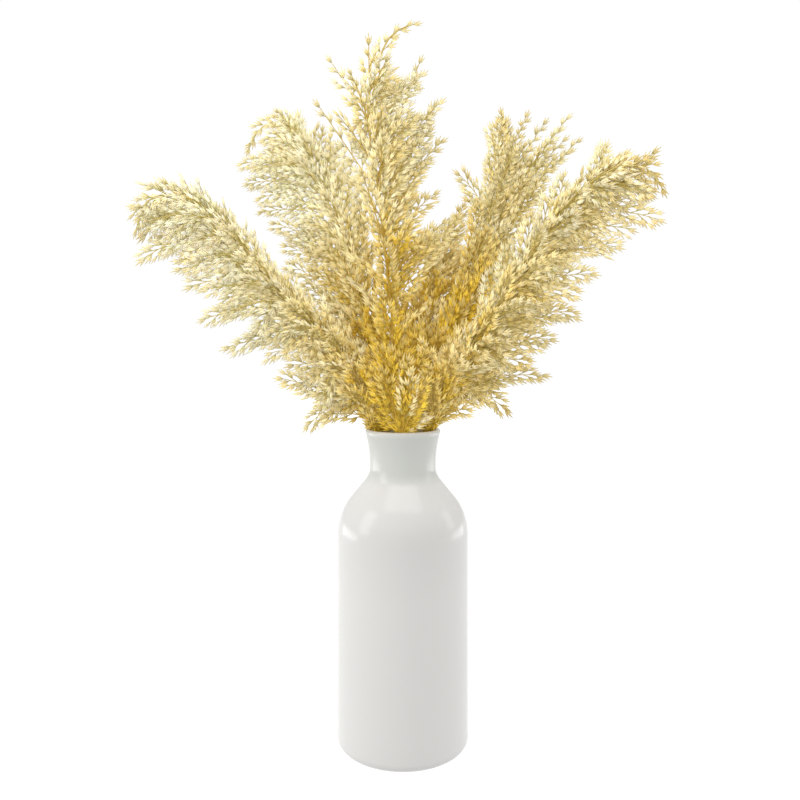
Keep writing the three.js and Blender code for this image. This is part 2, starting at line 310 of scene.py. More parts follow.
@dataclass(frozen=True)
class BareStoneware(Finish):
    """The unglazed foot of the vase: fired clay, dry and slightly grainy."""

    name: str = "bare_stoneware"
    clay: str = "#D8CFBF"
    grit: str = "#B9AD99"
    grit_mm: float = 1.2
    grit_height_mm: float = 0.06
    roughness: float = 0.85

    def inputs(self, tree: bpy.types.NodeTree) -> Inputs:
        """Dry clay with darker grit that stands out of it a little.

        Args:
            tree: The material's node tree.

        Returns:
            What the shader is fed with.
        """
        place = add_node(tree, "TexCoord", output="Object")
        grains = {"Scale": 1 / (self.grit_mm * MM), "Detail": 4.0, "Roughness": 0.6}
        grain = add_node(tree, "TexNoise", {"Vector": place, **grains})
        bumps = {"Height": grain, "Strength": 1.0, "Distance": self.grit_height_mm * MM}
        stops = ((0.35, self.grit), (0.6, self.clay))
        return {
            "Base Color": add_node(tree, "ValToRGB", {"Fac": grain}, stops=stops),
            "Normal": add_node(tree, "Bump", bumps),
            "Roughness": self.roughness,
        }


@dataclass(frozen=True)
class MouldedFlorets(Finish):
    """Polyethylene florets, injection moulded in clusters and dusted with straw dyes.

    Thin soft plastic lets some light through, so the clusters glow pale at their edges; on top
    of that, a faint even glow is painted light, which lifts their shade. They turn golden where
    they are deep, partly from a golden dye and partly as painted shade. The tips carry a tan dye
    and the waists a green one. The material reads five values of each corner: how far along its
    floret it is, how far out on its sprig, how deep in the golden tone, the tone of its shoot and
    how near that shoot's end.
    """

    name: str = "moulded_polyethylene"
    body: str = "#F5EFD3"
    waist: str = "#C2BB68"
    tip: str = "#E8D1A2"
    # the golden colours: a dye, laid on partly as painted shade deep in the bouquet
    deep: str = "#E4BF39"
    deep_waist: str = "#9E8218"
    shoot_end: str = "#BEAA70"  # the darker tan of the florets at the end of a shoot
    ripe_from: float = 0.7  # the tone from which a shoot's florets are tan at their tips
    gathered: Pair = (1.5, 0.95)  # the golden tone, dye and painted shade, is strongest at the twig and thins outwards
    drift: float = 0.6  # how much the golden dye comes and goes from patch to patch
    patch_mm: float = 26.0  # the size of such a patch
    tan_from: float = 0.5  # the share of a shoot from which its florets take the tan dye
    tan_share: float = 0.75  # how much of it the last florets of the shoot carry
    tan_waist: float = 0.25  # how much of that their waists keep
    shades: Pair = (0.79, 1.13)  # the value of the darkest and the lightest shoots
    roughness: float = 0.58
    scatter: float = 0.5
    scatter_radius: Point = (1.0, 0.75, 0.4)
    scatter_mm: float = 2.5
    painted_glow: float = 0.13  # painted light: an even glow that lifts the florets' shade, standing in for light that thin plastic passes on

    def inputs(self, tree: bpy.types.NodeTree) -> Inputs:
        """Dyes laid over each other: the floret's own, the golden one that also paints shade, the
        tan and the tone.

        Args:
            tree: The material's node tree.

        Returns:
            What the shader is fed with.
        """
        along, out, depth, tone, end = (
            add_node(tree, "Attribute", output="Fac", attribute_name=name)
            for name in ("along", "out", "depth", "tone", "end")
        )
        pale, tipped, inner = (
            add_node(tree, "ValToRGB", {"Fac": factor}, stops=stops)
            for factor, stops in (
                (out, ((0.0, self.waist), (0.65, self.body))),
                (along, ((0.35, self.body), (0.75, self.tip))),
                (out, ((0.0, self.deep_waist), (0.7, self.deep))),
            )
        )
        ripe = add_node(tree, "MapRange", {"Value": tone, "From Min": self.ripe_from})
        dyes = {FACTOR: ripe, COLOUR_A: pale, COLOUR_B: tipped}
        floret = add_node(tree, "Mix", dyes, MIXED, data_type="RGBA")
        place = add_node(tree, "TexCoord", output="Object")
        patches = {"Scale": 1 / (self.patch_mm * MM), "Detail": 2.0, "Roughness": 0.5}
        patch = add_node(tree, "TexNoise", {"Vector": place, **patches})
        drift = add_node(
            tree, "Math", {0: patch, 1: self.drift, 2: -self.drift / 2}, operation="MULTIPLY_ADD"
        )
        # painted shade with the golden dye: more of it deep in the bouquet and at the twig
        low, high = self.gathered
        gather = add_node(tree, "MapRange", {"Value": out, "To Min": low, "To Max": high})
        gold = add_node(tree, "Math", {0: depth, 1: gather}, operation="MULTIPLY")
        gold = add_node(tree, "Math", {0: gold, 1: drift}, operation="ADD", use_clamp=True)
        dyes = {FACTOR: gold, COLOUR_A: floret, COLOUR_B: inner}
        dyed = add_node(tree, "Mix", dyes, MIXED, data_type="RGBA")

        late = add_node(
            tree, "MapRange", {"Value": end, "From Min": self.tan_from, "To Max": self.tan_share}
        )
        pointed = add_node(tree, "MapRange", {"Value": along, "To Min": self.tan_waist})
        tan = add_node(tree, "Math", {0: late, 1: pointed}, operation="MULTIPLY")
        ends = {FACTOR: tan, COLOUR_A: dyed, COLOUR_B: linear(self.shoot_end)}
        ended = add_node(tree, "Mix", ends, MIXED, data_type="RGBA")

        low, high = self.shades
        shade = add_node(tree, "MapRange", {"Value": tone, "To Min": low, "To Max": high})
        colour = add_node(tree, "HueSaturation", {"Color": ended, "Value": shade})
        return {
            "Base Color": colour,
            "Roughness": self.roughness,
            # painted light: the florets glow faintly in their own colour
            "Emission Color": colour,
            "Emission Strength": self.painted_glow,
            "Subsurface Weight": self.scatter,
            "Subsurface Radius": self.scatter_radius,
            "Subsurface Scale": self.scatter_mm * MM,
        }


@dataclass(frozen=True)
class CoatedStem(Finish):
    """Wire stems dipped in straw-coloured plastic: a smooth satin coat with dye streaks."""

    name: str = "dipped_plastic_coat"
    straw: str = "#CFBF78"
    olive: str = "#AFA154"
    golden: str = "#B08E2A"
    streak_mm: float = 9.0
    roughness: float = 0.5
    # painted light: a faint even glow that lifts the coat's shade
    painted_glow: float = 0.1

    def inputs(self, tree: bpy.types.NodeTree) -> Inputs:
        """A satin coat that wanders between two dyes, turns golden where florets do, partly as
        painted shade, and glows faintly as painted light.

        Args:
            tree: The material's node tree.

        Returns:
            What the shader is fed with.
        """
        place = add_node(tree, "TexCoord", output="Object")
        streaks = {"Vector": place, "Scale": 1 / (self.streak_mm * MM), "Detail": 3.0}
        streak = add_node(tree, "TexNoise", streaks)
        stops = ((0.35, self.olive), (0.65, self.straw))
        tone = add_node(tree, "ValToRGB", {"Fac": streak}, stops=stops)
        # golden where the florets are: dye and painted shade
        depth = add_node(tree, "Attribute", output="Fac", attribute_name="depth")
        dyes = {FACTOR: depth, COLOUR_A: tone, COLOUR_B: linear(self.golden)}
        colour = add_node(tree, "Mix", dyes, MIXED, data_type="RGBA", clamp_factor=True)
        return {
            "Base Color": colour,
            "Roughness": self.roughness,
            # painted light: the coat glows faintly in its own colour
            "Emission Color": colour,
            "Emission Strength": self.painted_glow,
        }


@dataclass(frozen=True)
class WhitePaper(Finish):
    """The table's paper cover: matt, and lit so evenly that it melts into the surround."""

    name: str = "white_paper"
    grey: str = "#8C8C8C"
    roughness: float = 0.9
    glow: float = 0.9

    def inputs(self, tree: bpy.types.NodeTree) -> Inputs:
        """A plain matt sheet with an even glow and no pattern.

        Args:
            tree: The material's node tree.

        Returns:
            What the shader is fed with.
        """
        return {
            "Base Color": linear(self.grey),
            "Roughness": self.roughness,
            "Emission Color": linear("#FFFFFF"),
            "Emission Strength": self.glow,
        }


# --------------------------------------------------------------------------- curves


class Route:
    """A sampled curve that gives points and directions by their share of its length."""

    def __init__(self, points: np.ndarray) -> None:
        """Keeps the samples and measures the curve.

        Args:
            points: The samples along the curve, one row each.
        """
        self.points = points
        steps = np.linalg.norm(np.diff(points, axis=0), axis=1)
        self.lengths = np.concatenate(([0.0], np.cumsum(steps)))
        self.length = float(self.lengths[-1])

    def at(self, share: float) -> np.ndarray:
        """The point at a share of the length."""
        place = share * self.length
        return np.array([np.interp(place, self.lengths, self.points[:, k]) for k in range(3)])

    def heading(self, share: float) -> np.ndarray:
        """The unit direction at a share of the length."""
        low, high = max(0.0, share - 0.01), min(1.0, share + 0.01)
        return unit(self.at(high) - self.at(low))

    def part(self, low: float, high: float, count: int) -> np.ndarray:
        """Evenly spaced points between two shares of the length."""
        return np.array([self.at(share) for share in np.linspace(low, high, count)])


def smooth_route(points: Sequence[Point], count: int = 12) -> Route:
    """A centripetal Catmull-Rom curve through points, as the part's own stems follow.

    Args:
        points: The points to pass through, in millimetres.
        count: Samples between two points.

    Returns:
        The curve in metres.
    """
    known = np.array(points, float) * MM
    known = np.vstack((2 * known[0] - known[1], known, 2 * known[-1] - known[-2]))
    samples = []
    for p0, p1, p2, p3 in zip(known, known[1:], known[2:], known[3:]):
        spans = [math.sqrt(np.linalg.norm(b - a)) for a, b in ((p0, p1), (p1, p2), (p2, p3))]
        knots = np.cumsum([0.0] + spans)
        for t in np.linspace(knots[1], knots[2], count, endpoint=False):
            a1 = _between(p0, p1, knots[0], knots[1], t)
            a2 = _between(p1, p2, knots[1], knots[2], t)
            a3 = _between(p2, p3, knots[2], knots[3], t)
            b1 = _between(a1, a2, knots[0], knots[2], t)
            b2 = _between(a2, a3, knots[1], knots[3], t)
            samples.append(_between(b1, b2, knots[1], knots[2], t))
    samples.append(known[-2])
    return Route(np.array(samples))


def _between(a: np.ndarray, b: np.ndarray, start: float, end: float, t: float) -> np.ndarray:
    """The point that lies as far from a to b as t lies from start to end."""
    share = (t - start) / (end - start)
    return a * (1 - share) + b * share


def bent_route(root: np.ndarray, bend: np.ndarray, tip: np.ndarray) -> Route:
    """A quadratic curve from a root to a tip, drawn towards a bend point."""
    t = np.linspace(0, 1, 10)[:, None]
    return Route((1 - t) ** 2 * root + 2 * t * (1 - t) * bend + t**2 * tip)


def tube_mesh(
    name: str, routes: Iterable[tuple[np.ndarray, float, float]], sides: int
) -> bpy.types.Object:
    """Tapered tubes along routes, drawn as one bevelled curve and turned into a mesh.

    Args:
        name: The object's name.
        routes: Points, start radius and end radius of each tube.
        sides: Sides of a tube, 4 or more.

    Returns:
        The mesh object.
    """
    curve = bpy.data.curves.new(name, "CURVE")
    curve.dimensions = "3D"
    curve.bevel_depth = 1.0
    curve.bevel_resolution = sides // 2 - 2
    curve.use_fill_caps = True
    for points, start, end in routes:
        spline = curve.splines.new("POLY")
        spline.points.add(len(points) - 1)
        for point, place, share in zip(spline.points, points, np.linspace(0, 1, len(points))):
            point.co = (*place, 1.0)
            point.radius = start * (1 - share) + end * share
    holder = bpy.data.objects.new(name, curve)
    bpy.context.scene.collection.objects.link(holder)
    select_only(holder)
    bpy.ops.object.convert(target="MESH")
    return bpy.context.object


# --------------------------------------------------------------------------- the vase


@dataclass
class Vase:
    """A turned and glazed bottle vase: one hollow wall with a foot, a shoulder and a flared neck.

    Sizes are in millimetres and angles in degrees, the same as in the part. A profile is a list
    of rings, each a distance from the axis and a height.
    """

    height: float = 254.0
    body_radius: float = 52.8
    wall: float = 4.0
    floor: float = 5.0
    foot_corner: float = 7.0
    foot_tuck: float = 84.0  # how far that corner is rounded under
    shoulder_start: float = 170.0
    shoulder_radius: float = 44.0
    shoulder_slope: float = 40.0
    waist_radius: float = 26.7
    waist_height: float = 224.0
    neck_fillet: float = 18.5
    neck_flare: float = 105.0
    foot_ring: float = 5.0  # width of the bare ring that the vase stands on
    foot_recess: float = 1.5  # how far the underside is hollowed inside that ring
    glaze_lap: float = 0.5  # how far the glaze laps under the foot
    smooth_below: float = 50.0  # an edge that bends more than this stays sharp
    middle: float = 6.0  # the radius of the flat middle of the floor and the underside
    sides: int = 112

    def arc(
        self, centre: Pair, radius: float, start: float, end: float, steps: int
    ) -> list[Pair]:
        """Points of an arc in the profile.

        Args:
            centre: Distance from the axis and height of the arc's centre.
            radius: The arc's radius.
            start: Its first angle.
            end: Its last angle.
            steps: How many straight steps it is drawn in.

        Returns:
            The arc's rings.
        """
        angles = np.radians(np.linspace(start, end, steps + 1))
        return [
            (centre[0] + radius * math.cos(a), centre[1] + radius * math.sin(a)) for a in angles
        ]

    def wall_side(self, offset: float) -> list[Pair]:
        """One side of the wall, from the shoulder to the lip.

        Args:
            offset: How far inside the outer side it lies.

        Returns:
            Its rings, from below.
        """
        shoulder = (self.body_radius - self.shoulder_radius, self.shoulder_start)
        fillet = (self.waist_radius + self.neck_fillet, self.waist_height)
        flare = (self.waist_radius + self.neck_flare, self.waist_height)
        rise = self.height - self.wall / 2 - self.waist_height
        flare_angle = math.degrees(math.asin(rise / (self.neck_flare + offset)))
        slope = self.shoulder_slope
        return [
            *self.arc(shoulder, self.shoulder_radius - offset, 0, slope, steps=12),
            *self.arc(fillet, self.neck_fillet + offset, 180 + slope, 180, steps=9),
            *self.arc(flare, self.neck_flare + offset, 180, 180 - flare_angle, steps=8)[1:],
        ]

    def profile(self) -> list[Pair]:
        """The whole wall, from the foot corner up over the lip and down to the inner floor.

        Returns:
            The rings in that order.
        """
        corner = self.body_radius - self.foot_corner
        outside = self.wall_side(0)
        inside = self.wall_side(self.wall)[::-1]
        lip = tuple((a + b) / 2 for a, b in zip(outside[-1], inside[0]))
        upright = np.linspace(self.foot_corner, self.shoulder_start, 12)[1:-1]
        inner_corner = (corner, self.floor + self.foot_corner - self.wall)
        return [
            *self.arc((corner, self.foot_corner), self.foot_corner, -self.foot_tuck, 0, steps=7),
            *((self.body_radius, float(z)) for z in upright),
            *outside,
            *self.arc(lip, self.wall / 2, 0, 180, steps=8)[1:-1],
            *inside,
            *self.arc(inner_corner, self.foot_corner - self.wall, 0, -90, steps=4),
        ]

    def inside_at(self, heights: np.ndarray) -> np.ndarray:
        """The neck's inner radius.

        Args:
            heights: Heights from the waist to the lip.

        Returns:
            The radius at each of them.
        """
        rise = np.clip(heights - self.waist_height, 0, self.height - self.waist_height)
        flare = self.neck_flare + self.wall
        return self.waist_radius - self.wall + flare - np.sqrt(flare**2 - rise**2)

    def build(self, glaze: bpy.types.Material, clay: bpy.types.Material) -> bpy.types.Object:
        """Draws the wall up ring by ring from the foot, over the lip and down inside.

        Args:
            glaze: The finish of the wall.
            clay: The finish of the bare foot.

        Returns:
            The vase.
        """
        deselect()
        foot = self.body_radius - self.foot_corner
        bpy.ops.mesh.primitive_circle_add(
            vertices=self.sides, radius=foot * MM, fill_type="NGON", location=(0, 0, 0)
        )
        vase = bpy.context.object
        vase.name = "vase_wall"
        bpy.ops.object.mode_set(mode="EDIT")
        bpy.ops.mesh.select_mode(type="FACE")
        bpy.ops.mesh.select_all(action="SELECT")
        profile = self.profile()
        self._draw_out([(foot, 0.0), *profile, (self.middle, profile[-1][1])])
        bpy.ops.object.mode_set(mode="OBJECT")
        self._hollow_foot(vase, foot)
        vase.data.materials.append(glaze)
        vase.data.materials.append(clay)
        for face in vase.data.polygons:
            under = math.hypot(face.center.x, face.center.y) < (foot - self.glaze_lap) * MM
            low = face.center.z < self.foot_recess * 1.2 * MM
            face.material_index = int(low and under)
        bpy.ops.object.shade_smooth_by_angle(angle=math.radians(self.smooth_below))
        return vase

    def _draw_out(self, rings: Sequence[Pair]) -> None:
        """Extrudes the selected faces from ring to ring.

        Args:
            rings: The ring that is selected, and those to come.
        """
        for (radius, height), (next_radius, next_height) in zip(rings, rings[1:]):
            bpy.ops.mesh.extrude_region_move(
                TRANSFORM_OT_translate={"value": (0, 0, (next_height - height) * MM)}
            )
            share = next_radius / radius
            bpy.ops.transform.resize(
                value=(share, share, 1), center_override=(0, 0, next_height * MM)
            )

    def _hollow_foot(self, vase: bpy.types.Object, foot: float) -> None:
        """Sinks the underside inside its foot ring.

        Args:
            vase: The vase.
            foot: The outer radius of the foot ring.
        """
        select_faces(vase, lambda face: abs(face.normal.z) > 0.99 and face.center.z < 0.1 * MM)
        ring = foot - self.foot_ring
        recess = self.foot_recess
        self._draw_out([(foot, 0.0), (ring, 0.0), (ring - recess, recess), (self.middle, recess)])
        bpy.ops.mesh.select_all(action="SELECT")
        bpy.ops.mesh.normals_make_consistent(inside=False)
        bpy.ops.object.mode_set(mode="OBJECT")


VASE = Vase()


# --------------------------------------------------------------------------- florets


@dataclass
class Branch:
    """A short branch: the pattern that it takes, where it runs, its side and how it is dyed."""

    pattern: int
    root: np.ndarray
    bend: np.ndarray
    tip: np.ndarray
    side: np.ndarray
    depth: float
    tone: float
    end: float


@dataclass
class SprigPattern:
    """The shape of a sprig as plain arrays, ready to be pressed along many branches."""

    corners: np.ndarray
    triangles: np.ndarray
    finish: np.ndarray
    along: np.ndarray
    out: np.ndarray
    length: float

    @classmethod
    def read(cls, piece: bpy.types.Object, length: float) -> "SprigPattern":
        """Reads the shape of a modelled sprig.

        Args:
            piece: The joined twig and florets.
            length: The twig's length in metres.

        Returns:
            The pattern.
        """
        mesh = piece.data
        corners = np.array([vertex.co for vertex in mesh.vertices])
        return cls(
            corners=corners,
            triangles=np.array([tuple(face.vertices) for face in mesh.polygons]),
            finish=np.array([face.material_index for face in mesh.polygons]),
            along=np.array([layer.value for layer in mesh.attributes["along"].data]),
            out=np.clip(corners[:, 2] / corners[:, 2].max(), 0, 1),
            length=length,
        )

    def press(self, branches: Sequence[Branch]) -> tuple[np.ndarray, np.ndarray]:
        """Lays a copy of the sprig along each branch.

        Args:
            branches: The branches.

        Returns:
            The corners of all the copies and the triangles that join them.
        """
        root, bend, tip, side = (
            np.array([getattr(branch, name) for branch in branches])[:, None, :]
            for name in ("root", "bend", "tip", "side")
        )
        share = (self.corners[:, 2] / self.length)[None, :, None]
        held = np.clip(share, 0, 1)
        place = (1 - held) ** 2 * root + 2 * held * (1 - held) * bend + held**2 * tip
        heading = unit(2 * (1 - held) * (bend - root) + 2 * held * (tip - bend))
        scale = np.linalg.norm(tip - root, axis=2, keepdims=True) / self.length
        place = place + heading * (share - held) * self.length * scale
        side = unit(side - heading * np.sum(side * heading, axis=2, keepdims=True))
        front = np.cross(heading, side)
        across = self.corners[None, :, 0:1] * scale
        deep = self.corners[None, :, 1:2] * scale
        corners = (place + side * across + front * deep).reshape(-1, 3)
        steps = np.arange(len(branches)) * len(self.corners)
        triangles = self.triangles[None] + steps[:, None, None]
        return corners, triangles.reshape(-1, 3)


@dataclass
class Sprig:
    """One pattern of a small branch: a twig with florets set on alternate sides and at its end.

    It is modelled once, upright on the origin, and pressed along the many branches of a spray.
    Sizes are in millimetres.
    """

    florets: int
    spacing: float = 4.9
    bare_twig: float = 1.5
    overhang: float = 3.0  # how far the last floret stands out beyond the ones before it
    lone_overhang: float = 0.5  # the same for a floret on its own
    floret_length: float = 10.4
    floret_width: float = 2.2
    floret_angle: float = 20.0
    floret_turn: float = 37.0  # how much each floret is turned against the one before it
    floret_sink: float = 0.6  # how deep a floret sits on the twig
    belly: float = 0.4  # the share of a bract's length at which it is widest
    bract_spread: float = 18.0
    bract_share: float = 0.8  # the size of the side bracts, as a share of the middle one
    bract_offset: float = 0.25
    bract_rise: float = 0.4
    twig_radius: float = 0.36
    twig_taper: float = 0.85

    @property
    def twig_length(self) -> float:
        """The twig's length, with a bare stretch below its first floret."""
        overhang = self.overhang if self.florets > 1 else self.lone_overhang
        return self.bare_twig + (self.florets - 1) * self.spacing + overhang

    def build(self, plastic: bpy.types.Material, coat: bpy.types.Material) -> SprigPattern:
        """Models the sprig and hands back its shape.

        Args:
            plastic: The finish of the florets.
            coat: The finish of the twig.

        Returns:
            The sprig's corners, triangles, finishes and attributes.
        """
        pieces = [self._twig(plastic, coat)]
        floret = self._floret(plastic)
        length = self.twig_length
        for i in range(self.florets):
            last = i == self.florets - 1
            side = 1 if i % 2 else -1
            lean = 0.0 if last else side * self.floret_angle
            height = length if last else length - (self.florets - 1 - i) * self.spacing
            pieces.append(self._copy(floret, height - self.floret_sink, lean, self.floret_turn * i))
        sprig = join(pieces)
        pattern = SprigPattern.read(sprig, length * MM)
        for spare in (sprig, floret):
            bpy.data.objects.remove(spare)
        return pattern

    def _twig(self, plastic: bpy.types.Material, coat: bpy.types.Material) -> bpy.types.Object:
        """The twig, drawn up in steps so that it can follow a bent branch.

        Args:
            plastic: The finish that the florets bring to the joined piece, in the first place.
            coat: The twig's own finish.

        Returns:
            The twig.
        """
        deselect()
        steps = max(1, (self.florets + 1) // 2)
        step = self.twig_length / steps
        bpy.ops.mesh.primitive_cylinder_add(
            vertices=3,
            radius=self.twig_radius * MM,
            depth=step * MM,
            location=(0, 0, step / 2 * MM),
        )
        twig = bpy.context.object
        bpy.ops.object.transform_apply(location=True)
        select_faces(twig, lambda face: face.normal.z > 0.9)
        for _ in range(steps - 1):
            bpy.ops.mesh.extrude_region_move(TRANSFORM_OT_translate={"value": (0, 0, step * MM)})
            bpy.ops.transform.resize(value=(self.twig_taper, self.twig_taper, 1))
        bpy.ops.mesh.select_all(action="SELECT")
        bpy.ops.mesh.quads_convert_to_tris()
        bpy.ops.object.mode_set(mode="OBJECT")
        twig.data.attributes.new("along", "FLOAT", "POINT")
        twig.data.materials.append(plastic)
        twig.data.materials.append(coat)
        for face in twig.data.polygons:
            face.material_index = 1
        return twig

    def _bract(self, share: float) -> bpy.types.Object:
        """One pointed bract: four-sided, and widest at its belly.

        Args:
            share: Its size, as a share of the floret's.

        Returns:
            The bract, upright on the origin.
        """
        deselect()
        length = self.floret_length * share
        belly = self.belly * length
        bpy.ops.mesh.primitive_cone_add(
            vertices=4,
            radius1=self.floret_width * share / 2 * MM,
            radius2=0,
            depth=(length - belly) * MM,
            location=(0, 0, (length + belly) / 2 * MM),
        )
        bract = bpy.context.object
        bpy.ops.object.transform_apply(location=True)
        select_faces(bract, lambda face: face.normal.z < -0.9)
        bpy.ops.mesh.extrude_region_move(TRANSFORM_OT_translate={"value": (0, 0, -belly * MM)})
        bpy.ops.mesh.merge(type="CENTER")
        bpy.ops.object.mode_set(mode="OBJECT")
        layer = bract.data.attributes.new("along", "FLOAT", "POINT")
        heights = [vertex.co.z / (length * MM) for vertex in bract.data.vertices]
        layer.data.foreach_set("value", heights)
        return bract

    def _floret(self, plastic: bpy.types.Material) -> bpy.types.Object:
        """A floret: one long bract between two shorter ones that spread to the sides.

        Args:
            plastic: Its finish.

        Returns:
            The floret, upright on the origin.
        """
        bracts = [self._bract(1.0)]
        for side in (-1, 1):
            bracts.append(self._bract(self.bract_share))
            turn_selected("Y", self.bract_spread * side)
            bpy.ops.transform.translate(
                value=(0, self.bract_offset * side * MM, self.bract_rise * MM)
            )
            bpy.ops.object.transform_apply(location=True, rotation=True)
        floret = join(bracts)
        floret.data.materials.append(plastic)
        return floret

    def _copy(
        self, floret: bpy.types.Object, height: float, lean: float, turn: float
    ) -> bpy.types.Object:
        """A copy of the floret with its own mesh, set on the twig.

        Args:
            floret: The floret.
            height: Where on the twig the copy sits.
            lean: How far it leans off the twig.
            turn: How far it is turned round its own length.

        Returns:
            The copy.
        """
        select_only(floret)
        bpy.ops.object.duplicate()
        copy = bpy.context.object
        turn_selected("Z", turn)
        bpy.ops.object.transform_apply(rotation=True)
        turn_selected("Y", lean)
        bpy.ops.transform.translate(value=(0, 0, height * MM))
        bpy.ops.object.transform_apply(location=True, rotation=True)
        return copy


SPRIG_FLORETS = (1, 2, 3, 5, 7)
PATTERN_LENGTHS = tuple(Sprig(count).twig_length for count in SPRIG_FLORETS)


# --------------------------------------------------------------------------- the sprays


@dataclass
class Shoot:
    """A feathery shoot: its curve, the side its sprigs lie to and how it is dyed and filled."""

    route: Route
    facing: np.ndarray
    tone: float = 0.5  # its share of the lighter dye
    fade: float = 0.0  # how much of the golden dye is left off
    first: float = 0.1  # the share of the shoot at which its first sprig grows
    longest: float = 23.0
    spacing: float = 4.3


class Tint(Enum):
    """The two dyes that the sprays are moulded in."""

    PALE = "pale_straw"
    GOLDEN = "golden_straw"


@dataclass
class Spray:
    """One stem of pampas grass: a coated wire with shoots all round it and sprigs on each shoot.

    Lengths are in millimetres and angles in degrees. Route and tips repeat the part's own. Reach
    is the length of a shoot at the bottom, in the middle and at the top of the plume. A pair is
    the range that a random value is drawn from.
    """

    name: str
    tint: Tint
    leaves_mouth_at: float
    seed: int
    reach: Point
    route: Sequence[Point]
    tips: Sequence[Point]
    hanging: Sequence[Point] = ()
    fans: Sequence[Point] = ()
    lone: Sequence[Point] = ()

    # Its stem's curve, and the seeded generator that all its random values come from.
    line: Route = field(init=False, repr=False)
    chance: np.random.Generator = field(init=False, repr=False)

    # The stem, on the part's own line.
    stem_radius: float = 2.2
    stem_tip_radius: float = 0.6
    foot_reach: float = 30.0
    floor_gap: float = 5.3
    rim_reach: float = 23.2
    rim_height: float = 250.0
    spiral: float = 130.0
    golden_angle: float = 137.5

    # The shoots at the spray's edge.
    shoot_radius: float = 0.65
    shoot_tip_radius: float = 0.3
    first_shoot: float = 0.04
    last_shoot: float = 0.9
    top_shoot: float = 0.84
    root_gap: float = 0.02  # the least share of the stem between two of them
    leave_angle: float = 28.0
    hanging_turn: float = 34.0  # how much wider a shoot leaves on the stem's underside
    bow: float = 0.4  # how far a shoot follows the stem before it turns away
    tip_inset: float = 6.0
    top_sprig: float = 20.0
    top_spacing: float = 4.3
    lone_angle: float = 26.0
    lone_sprig: float = 13.0
    lone_spacing: float = 3.6
    hanging_angle: float = 58.0
    hanging_spread: Pair = (-8, 8)
    hanging_inset: float = 11.0
    hanging_bow: float = 0.5
    hanging_bend: float = 0.55
    tones: Pair = (0.1, 0.9)
    fades: Pair = (-0.5, 0.5)

    # Companions follow an edge shoot a little inside the outline.
    companions: int = 2
    companion_start: float = 0.03
    companion_step: float = 0.035
    companion_shift: Pair = (0, 0.02)
    companion_turn: Pair = (-28, 28)
    companion_reach: Pair = (0.42, 0.74)
    companion_stray: float = 0.035

    # The collar fans out of the mouth.
    collar: int = 16
    collar_sink: float = 4.0  # how far below the rim it starts
    collar_step: float = 2.6
    collar_turn: Pair = (-20, 20)
    collar_angle: Pair = (10, 30)
    collar_length: Pair = (30, 62)
    fan_sink: float = 2.0

    # Fillers stand all round the stem.
    fillers: int = 44
    filler_crowding: float = 1.2  # how much closer they stand towards the stem's foot
    filler_turn: Pair = (-15, 15)
    filler_angle: float = 30.0
    filler_spread: Pair = (-8, 6)
    filler_reach: Pair = (0.65, 0.95)
    deepening: float = 0.7  # how much longer they are to the front and the back
    upper_loss: float = 0.45  # how much shorter they are on the upper side of a lying stem
    droop: float = 0.1
    lying_droop: float = 0.25  # how much more they droop from a lying stem

    # The sprigs on the shoots and straight on the stem.
    sprig_angle: float = 33.0
    sprig_closing: float = 10.0
    sprig_spread: Pair = (-5, 5)
    sprig_turn: Pair = (-18, 18)
    sprig_share: float = 0.45  # the longest sprig, as a share of its shoot
    sprig_taper: float = 0.6
    sprig_length: Pair = (0.75, 1.15)
    sprig_tone: Pair = (-0.2, 0.2)
    longest_sprig: float = 23.0
    pattern_stretch: Pair = (0.88, 1.12)
    closing_in: float = 0.25  # how far a sprig bends back towards its shoot
    sagging: float = 0.22  # and how far the last ones sag
    spine_end: float = 1.0  # the share of the stem's bare part that carries sprigs of its own
    spine_spacing: float = 2.4
    spine_sprig: float = 21.0
    spine_length: Pair = (0.7, 1.1)
    spine_angle: float = 34.0
    spine_spread: Pair = (-8, 8)
    bundle_height: float = 276.0  # up to here the stem's own sprigs are threefold
    bundle: int = 3
    bundle_closing: float = 0.4  # and lie closer to it

    # The golden tone: partly a dye, partly painted shade deep in the bouquet.
    gold: float = 0.0
    stem_gold: float = 0.0
    heart: Point = (6.0, 0.0, 302.0)  # the golden middle of the bouquet, dye and painted shade
    heart_reach: float = 105.0
    heart_gold: float = 0.6
    mouth: Point = (0.0, 0.0, 262.0)  # the stems gather here, in the same golden tone of dye and painted shade
    mouth_reach: float = 44.0
    mouth_gold: float = 0.38
    inner_gold: float = 0.15  # more of it close to the stem, as painted shade
    inner_reach: float = 40.0

    # What stays free round the vase's neck.
    keep_out: float = 37.0
    wall_gap: float = 2.2
    deepest_sprig: float = 243.0
    lip_keep_out: float = 257.0
    sprig_overhang: float = 6.0  # how far the last floret stands out beyond its branch

    def stem(self) -> Route:
        """The stem's curve, from the vase's floor over the mouth to the tip.

        Returns:
            The curve.
        """
        foot = self._polar(self.foot_reach, self.leaves_mouth_at + self.spiral, self.floor_gap)
        mouth = self._polar(self.rim_reach, self.leaves_mouth_at, self.rim_height)
        lean = unit(mouth - foot)
        foot[2] += self.stem_radius * math.hypot(lean[0], lean[1])
        half = (foot + mouth) / 2
        return smooth_route([tuple(foot), tuple(half), tuple(mouth), *self.route])

    def _polar(self, reach: float, angle: float, height: float) -> np.ndarray:
        """A point at a distance from the vase's axis, at an angle round it and at a height."""
        turn = math.radians(angle)
        return np.array((reach * math.cos(turn), reach * math.sin(turn), height))

    def _first_share(self) -> float:
        """The share of the stem at which its first shoot may grow."""
        above = 1 - self.rim_height * MM / self.line.length
        return 1 - above * (1 - self.first_shoot)

